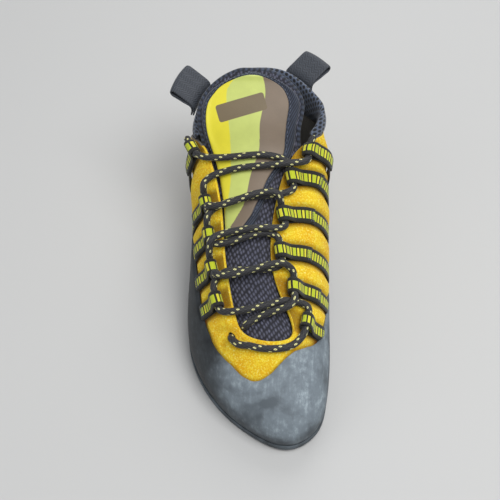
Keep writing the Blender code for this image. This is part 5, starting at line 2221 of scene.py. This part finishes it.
    @staticmethod
    def eye(loop: LaceLoop) -> Array:
        """Points through a loop, from its mouth towards the toe to the other one."""
        return np.array([loop.mouth(False)[0], loop.inside(), loop.mouth(True)[0]])

    def follow(self, pairs: list[tuple[Array, Array]], strand: int) -> list[Array]:
        """The parts of one strand in order.

        Args:
            pairs: The two strands of every crossing.
            strand: 0 for the strand out of the slit, 1 for the other.

        Returns:
            Points from its start to its end.
        """
        loop = self.medial[0]
        parts = [self.tucked_end(pairs[0][1][0])] if strand else [self.bar()[:-1], self.eye(loop)]
        for number, pair in enumerate(pairs):
            inward = (number + strand) % 2
            loop = self.medial[number + 1] if inward else self.lateral[number]
            parts += [pair[inward][1:-1], self.eye(loop)]
        return parts + [self.end(loop)[1:]]


@dataclass
class Stitching:
    """Rows of stitches in one thread, each stitch a short capsule laid on the surface."""

    name: str
    finish: Finish
    length: float = 0.0021
    spacing: float = 0.0030
    radius: float = 0.00028
    points: list[Array] = field(default_factory=list)

    def sew(self, line: Array, skip: Array | None = None) -> None:
        """Adds a row of stitches.

        Args:
            line: Close points along the row.
            skip: Whether a stitch is left out, for each point.
        """
        run = chord_knots(line)
        for begin in np.arange(0.0, run[-1] - self.length, self.spacing):
            goals = np.linspace(begin, begin + self.length, 6)
            middle = int(np.searchsorted(run, begin + self.length / 2))
            if skip is not None and skip[min(middle, len(skip) - 1)]:
                continue
            self.points.append(sampled(line, run, goals))

    def build(self, slot: str) -> Object:
        """All the rows as one mesh.

        Args:
            slot: Handed on to dress.

        Returns:
            The stitches.
        """
        sides, stitches = 6, np.array(self.points)
        count = stitches.shape[1]
        wide = self.radius * np.array([0.35, 0.85, 1.0, 1.0, 0.85, 0.35])[:, None, None]
        turns = full_turn(sides)[:, None]
        travel = unit(stitches[:, -1] - stitches[:, 0])
        side = unit(np.cross(travel, (0.31, 0.22, 0.93)))
        other = np.cross(travel, side)
        rings = side[:, None] * np.cos(turns) + other[:, None] * np.sin(turns)
        points = (stitches[:, :, None] + wide * rings[:, None]).reshape(-1, 3)
        pattern = []
        for ring in range(0, (count - 1) * sides, sides):
            for k in range(sides):
                a, b = ring + k, ring + (k + 1) % sides
                pattern.append((a, b, b + sides, a + sides))
        for end, turn in ((0, -1), ((count - 1) * sides, 1)):
            pattern += [(end, end + k, end + k + 1, end + k + 2)[::turn] for k in (1, 3)]
        starts = np.arange(len(stitches))[:, None, None] * count * sides
        faces = (starts + np.array(pattern)).reshape(-1, 4).tolist()
        made = make_mesh(self.name, points, faces, {}, (self.finish,))
        return dress(made, slot)


@dataclass
class Seams:
    """All the seams that show."""

    loops: list[LaceLoop]
    pulls: list[PullLoop]

    def panel(self) -> Stitching:
        """The slate row round the panel."""
        thread = Stitching("panel_stitches", SewingThread(), 0.0021, 0.0029, 0.00034)
        _, facing, panel = Tongue().layers()
        turn = np.linspace(0.02, 0.5 * np.pi, 240)
        rise = PANEL_ROWS[0][0] + (PANEL_ROWS[-1][0] - PANEL_ROWS[0][0]) * np.sin(turn)
        left, right = panel.band(rise)
        share = np.concatenate([rise, rise[::-1]])
        half = TONGUE.half_width(share)
        long = TONGUE.length()
        flat = np.column_stack([share * long, np.concatenate([left, right[::-1]]) * half])
        travel = unit(np.gradient(flat, axis=0))
        flat = flat + np.column_stack([travel[:, 1], -travel[:, 0]]) * 0.0013
        share, across = flat[:, 0] / long, flat[:, 1] / half
        line = TONGUE.at(share, across, facing.heights(share, across)[1] + 0.0001)
        line = line[(share > 0.74) | (across > 0.0)]
        thread.sew(evenly_spaced(line[::6], 0.0004))
        return thread

    def leather(self) -> Stitching:
        """The golden rows along the throat's edge and under the collar."""
        thread = Stitching("upper_stitches", GoldThread(), 0.0022, 0.0031, 0.00026)
        half = SIZES.strap_width / 2 + 0.0012
        throat = [LAST.place_along(0.300, side) for side in Side]
        lateral, medial = (LAST.place_along(0.262, side) for side in Side)
        for ends, inset in ((throat, 0.0026), ((medial - 1.0, lateral), 0.0022)):
            place = np.linspace(*ends, 700)
            up = 1.0 if ends is throat else LAST.leather_top(place)
            line = LAST.offset(place, up - inset / LAST.length(place), 0.00005)
            thread.sew(line, strap_distances(line, self.loops) < half)
        return thread

    def webbing(self) -> Stitching:
        """The dark tacks that hold the folded straps and the pull loops."""
        thread = Stitching("tack_stitches", SewingThread(), 0.0015, 0.0017, 0.00022)
        for loop in self.loops:
            path = loop.path()
            distance, height = path[-1]
            across = np.linspace(-0.42, 0.42, 40) * SIZES.strap_width
            for back in (0.0012, 0.0024):
                top = height + SIZES.strap / 2 + 0.0001
                thread.sew(loop.spot(np.full(40, distance - back), np.full(40, top), across))
        for pull in self.pulls:
            across = np.linspace(-0.44, 0.44, 80) * pull.width
            out = SIZES.gap * 3.6 + pull.thickness * 2.55
            for up in (-0.0058, -0.0046):
                thread.sew(pull.spot(np.full(80, out), np.full(80, up), across))
        return thread

    def build(self) -> list[Object]:
        """Sews every seam."""
        return [
            self.panel().build("facing"),
            self.leather().build("suede"),
            self.webbing().build("webbing"),
        ]


@dataclass
class Studio:
    """The pale floor, the soft lights and the camera."""

    target: Triple = (-0.0040, -0.0950, 0.0470)
    azimuth: float = math.radians(2)
    elevation: float = math.radians(52)
    distance: float = 0.65
    lens: float = 69.5
    floor_size: float = 8.0

    def stand(self, name: str, data: bpy.types.Camera | bpy.types.Light, place: Vector) -> Object:
        """Stands the camera or a lamp so that it looks at the shoe.

        Args:
            name: Its name.
            data: The camera or the lamp.
            place: Where it stands.

        Returns:
            The object.
        """
        made = bpy.data.objects.new(name, data)
        made.location = place
        made.rotation_euler = (place - Vector(self.target)).to_track_quat("Z", "Y").to_euler()
        bpy.context.scene.collection.objects.link(made)
        return made

    def build_camera(self) -> None:
        """The camera at the photograph's viewing angle."""
        data = bpy.data.cameras.new("camera")
        data.lens = self.lens
        data.sensor_width = 36.0
        level = math.cos(self.elevation)
        across, along = math.sin(self.azimuth) * level, -math.cos(self.azimuth) * level
        back = Vector((across, along, math.sin(self.elevation)))
        place = Vector(self.target) + back * self.distance
        bpy.context.scene.camera = self.stand("camera", data, place)

    def add_light(self, name: str, place: Triple, size: float, power: float) -> None:
        """A square soft light.

        Args:
            name: Its name.
            place: Where it stands.
            size: Its side.
            power: Its power in watts.
        """
        data = bpy.data.lights.new(name, "AREA")
        data.size = size
        data.energy = power
        self.stand(name, data, Vector(place))

    def build(self) -> None:
        """Floor, lights and camera."""
        half = self.floor_size / 2
        steps = np.linspace(-half, half, 9)
        points = np.array([(x, y, 0.0) for x in steps for y in steps])
        corners = [9 * i + k for i in range(8) for k in range(8)]
        faces = [(corner, corner + 9, corner + 10, corner + 1) for corner in corners]
        floor = make_mesh("floor", points, faces, {}, (PaintedBoard(),))
        floor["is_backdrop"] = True
        self.add_light("key", (0.42, -0.45, 1.25), 0.9, 14.5)
        self.add_light("fill", (-0.95, -0.45, 0.80), 1.0, 2.4)
        self.add_light("rear", (0.15, 0.95, 0.85), 0.9, 6.5)
        world = bpy.data.worlds.new("studio")
        world.use_nodes = True
        air = world.node_tree.nodes["Background"].inputs
        air["Color"].default_value = linear("#DDE1E6")
        air["Strength"].default_value = 0.28
        bpy.context.scene.world = world
        bpy.context.scene.view_settings.view_transform = "Standard"
        self.build_camera()


def write_sizes() -> None:
    """Works out the CAD's box and the dressed model's box as plain lists of numbers."""
    boxes = {"cad": CAD_BOX, "visual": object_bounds()}
    plain = {name: [[float(v) for v in corner] for corner in box] for name, box in boxes.items()}


def main() -> None:
    """Builds the shoe's sub-assemblies in order."""
    logging.basicConfig(level=logging.INFO, format="%(message)s")
    Studio().build()
    medial = [LaceLoop(Side.MEDIAL, i + 1) for i in range(len(LACE_LOOPS[Side.MEDIAL]))]
    lateral = [LaceLoop(Side.LATERAL, i + 1) for i in range(len(LACE_LOOPS[Side.LATERAL]))]
    loops = medial + lateral
    Lacing(medial, lateral).build()
    Outsole().build()
    Insole().build()
    Rand().build()
    Upper(loops).build()
    Collar().build()
    Tongue().build()
    strap = Webbing(SIZES.strap_width, SIZES.strap)
    for number, loop in enumerate(loops):
        made = strap.build(f"strap_{loop.name[10:]}", loop.path(), loop.spot, LadderWebbing(), 6.1 * number)
        dress(made, "webbing", loop.name)
    pulls = [PullLoop(Side.MEDIAL, 0.050), PullLoop(Side.LATERAL, 0.126)]
    for pull in pulls:
        pull.build()
    Seams(loops, pulls).build()
    write_sizes()


if __name__ == "__main__":
    main()
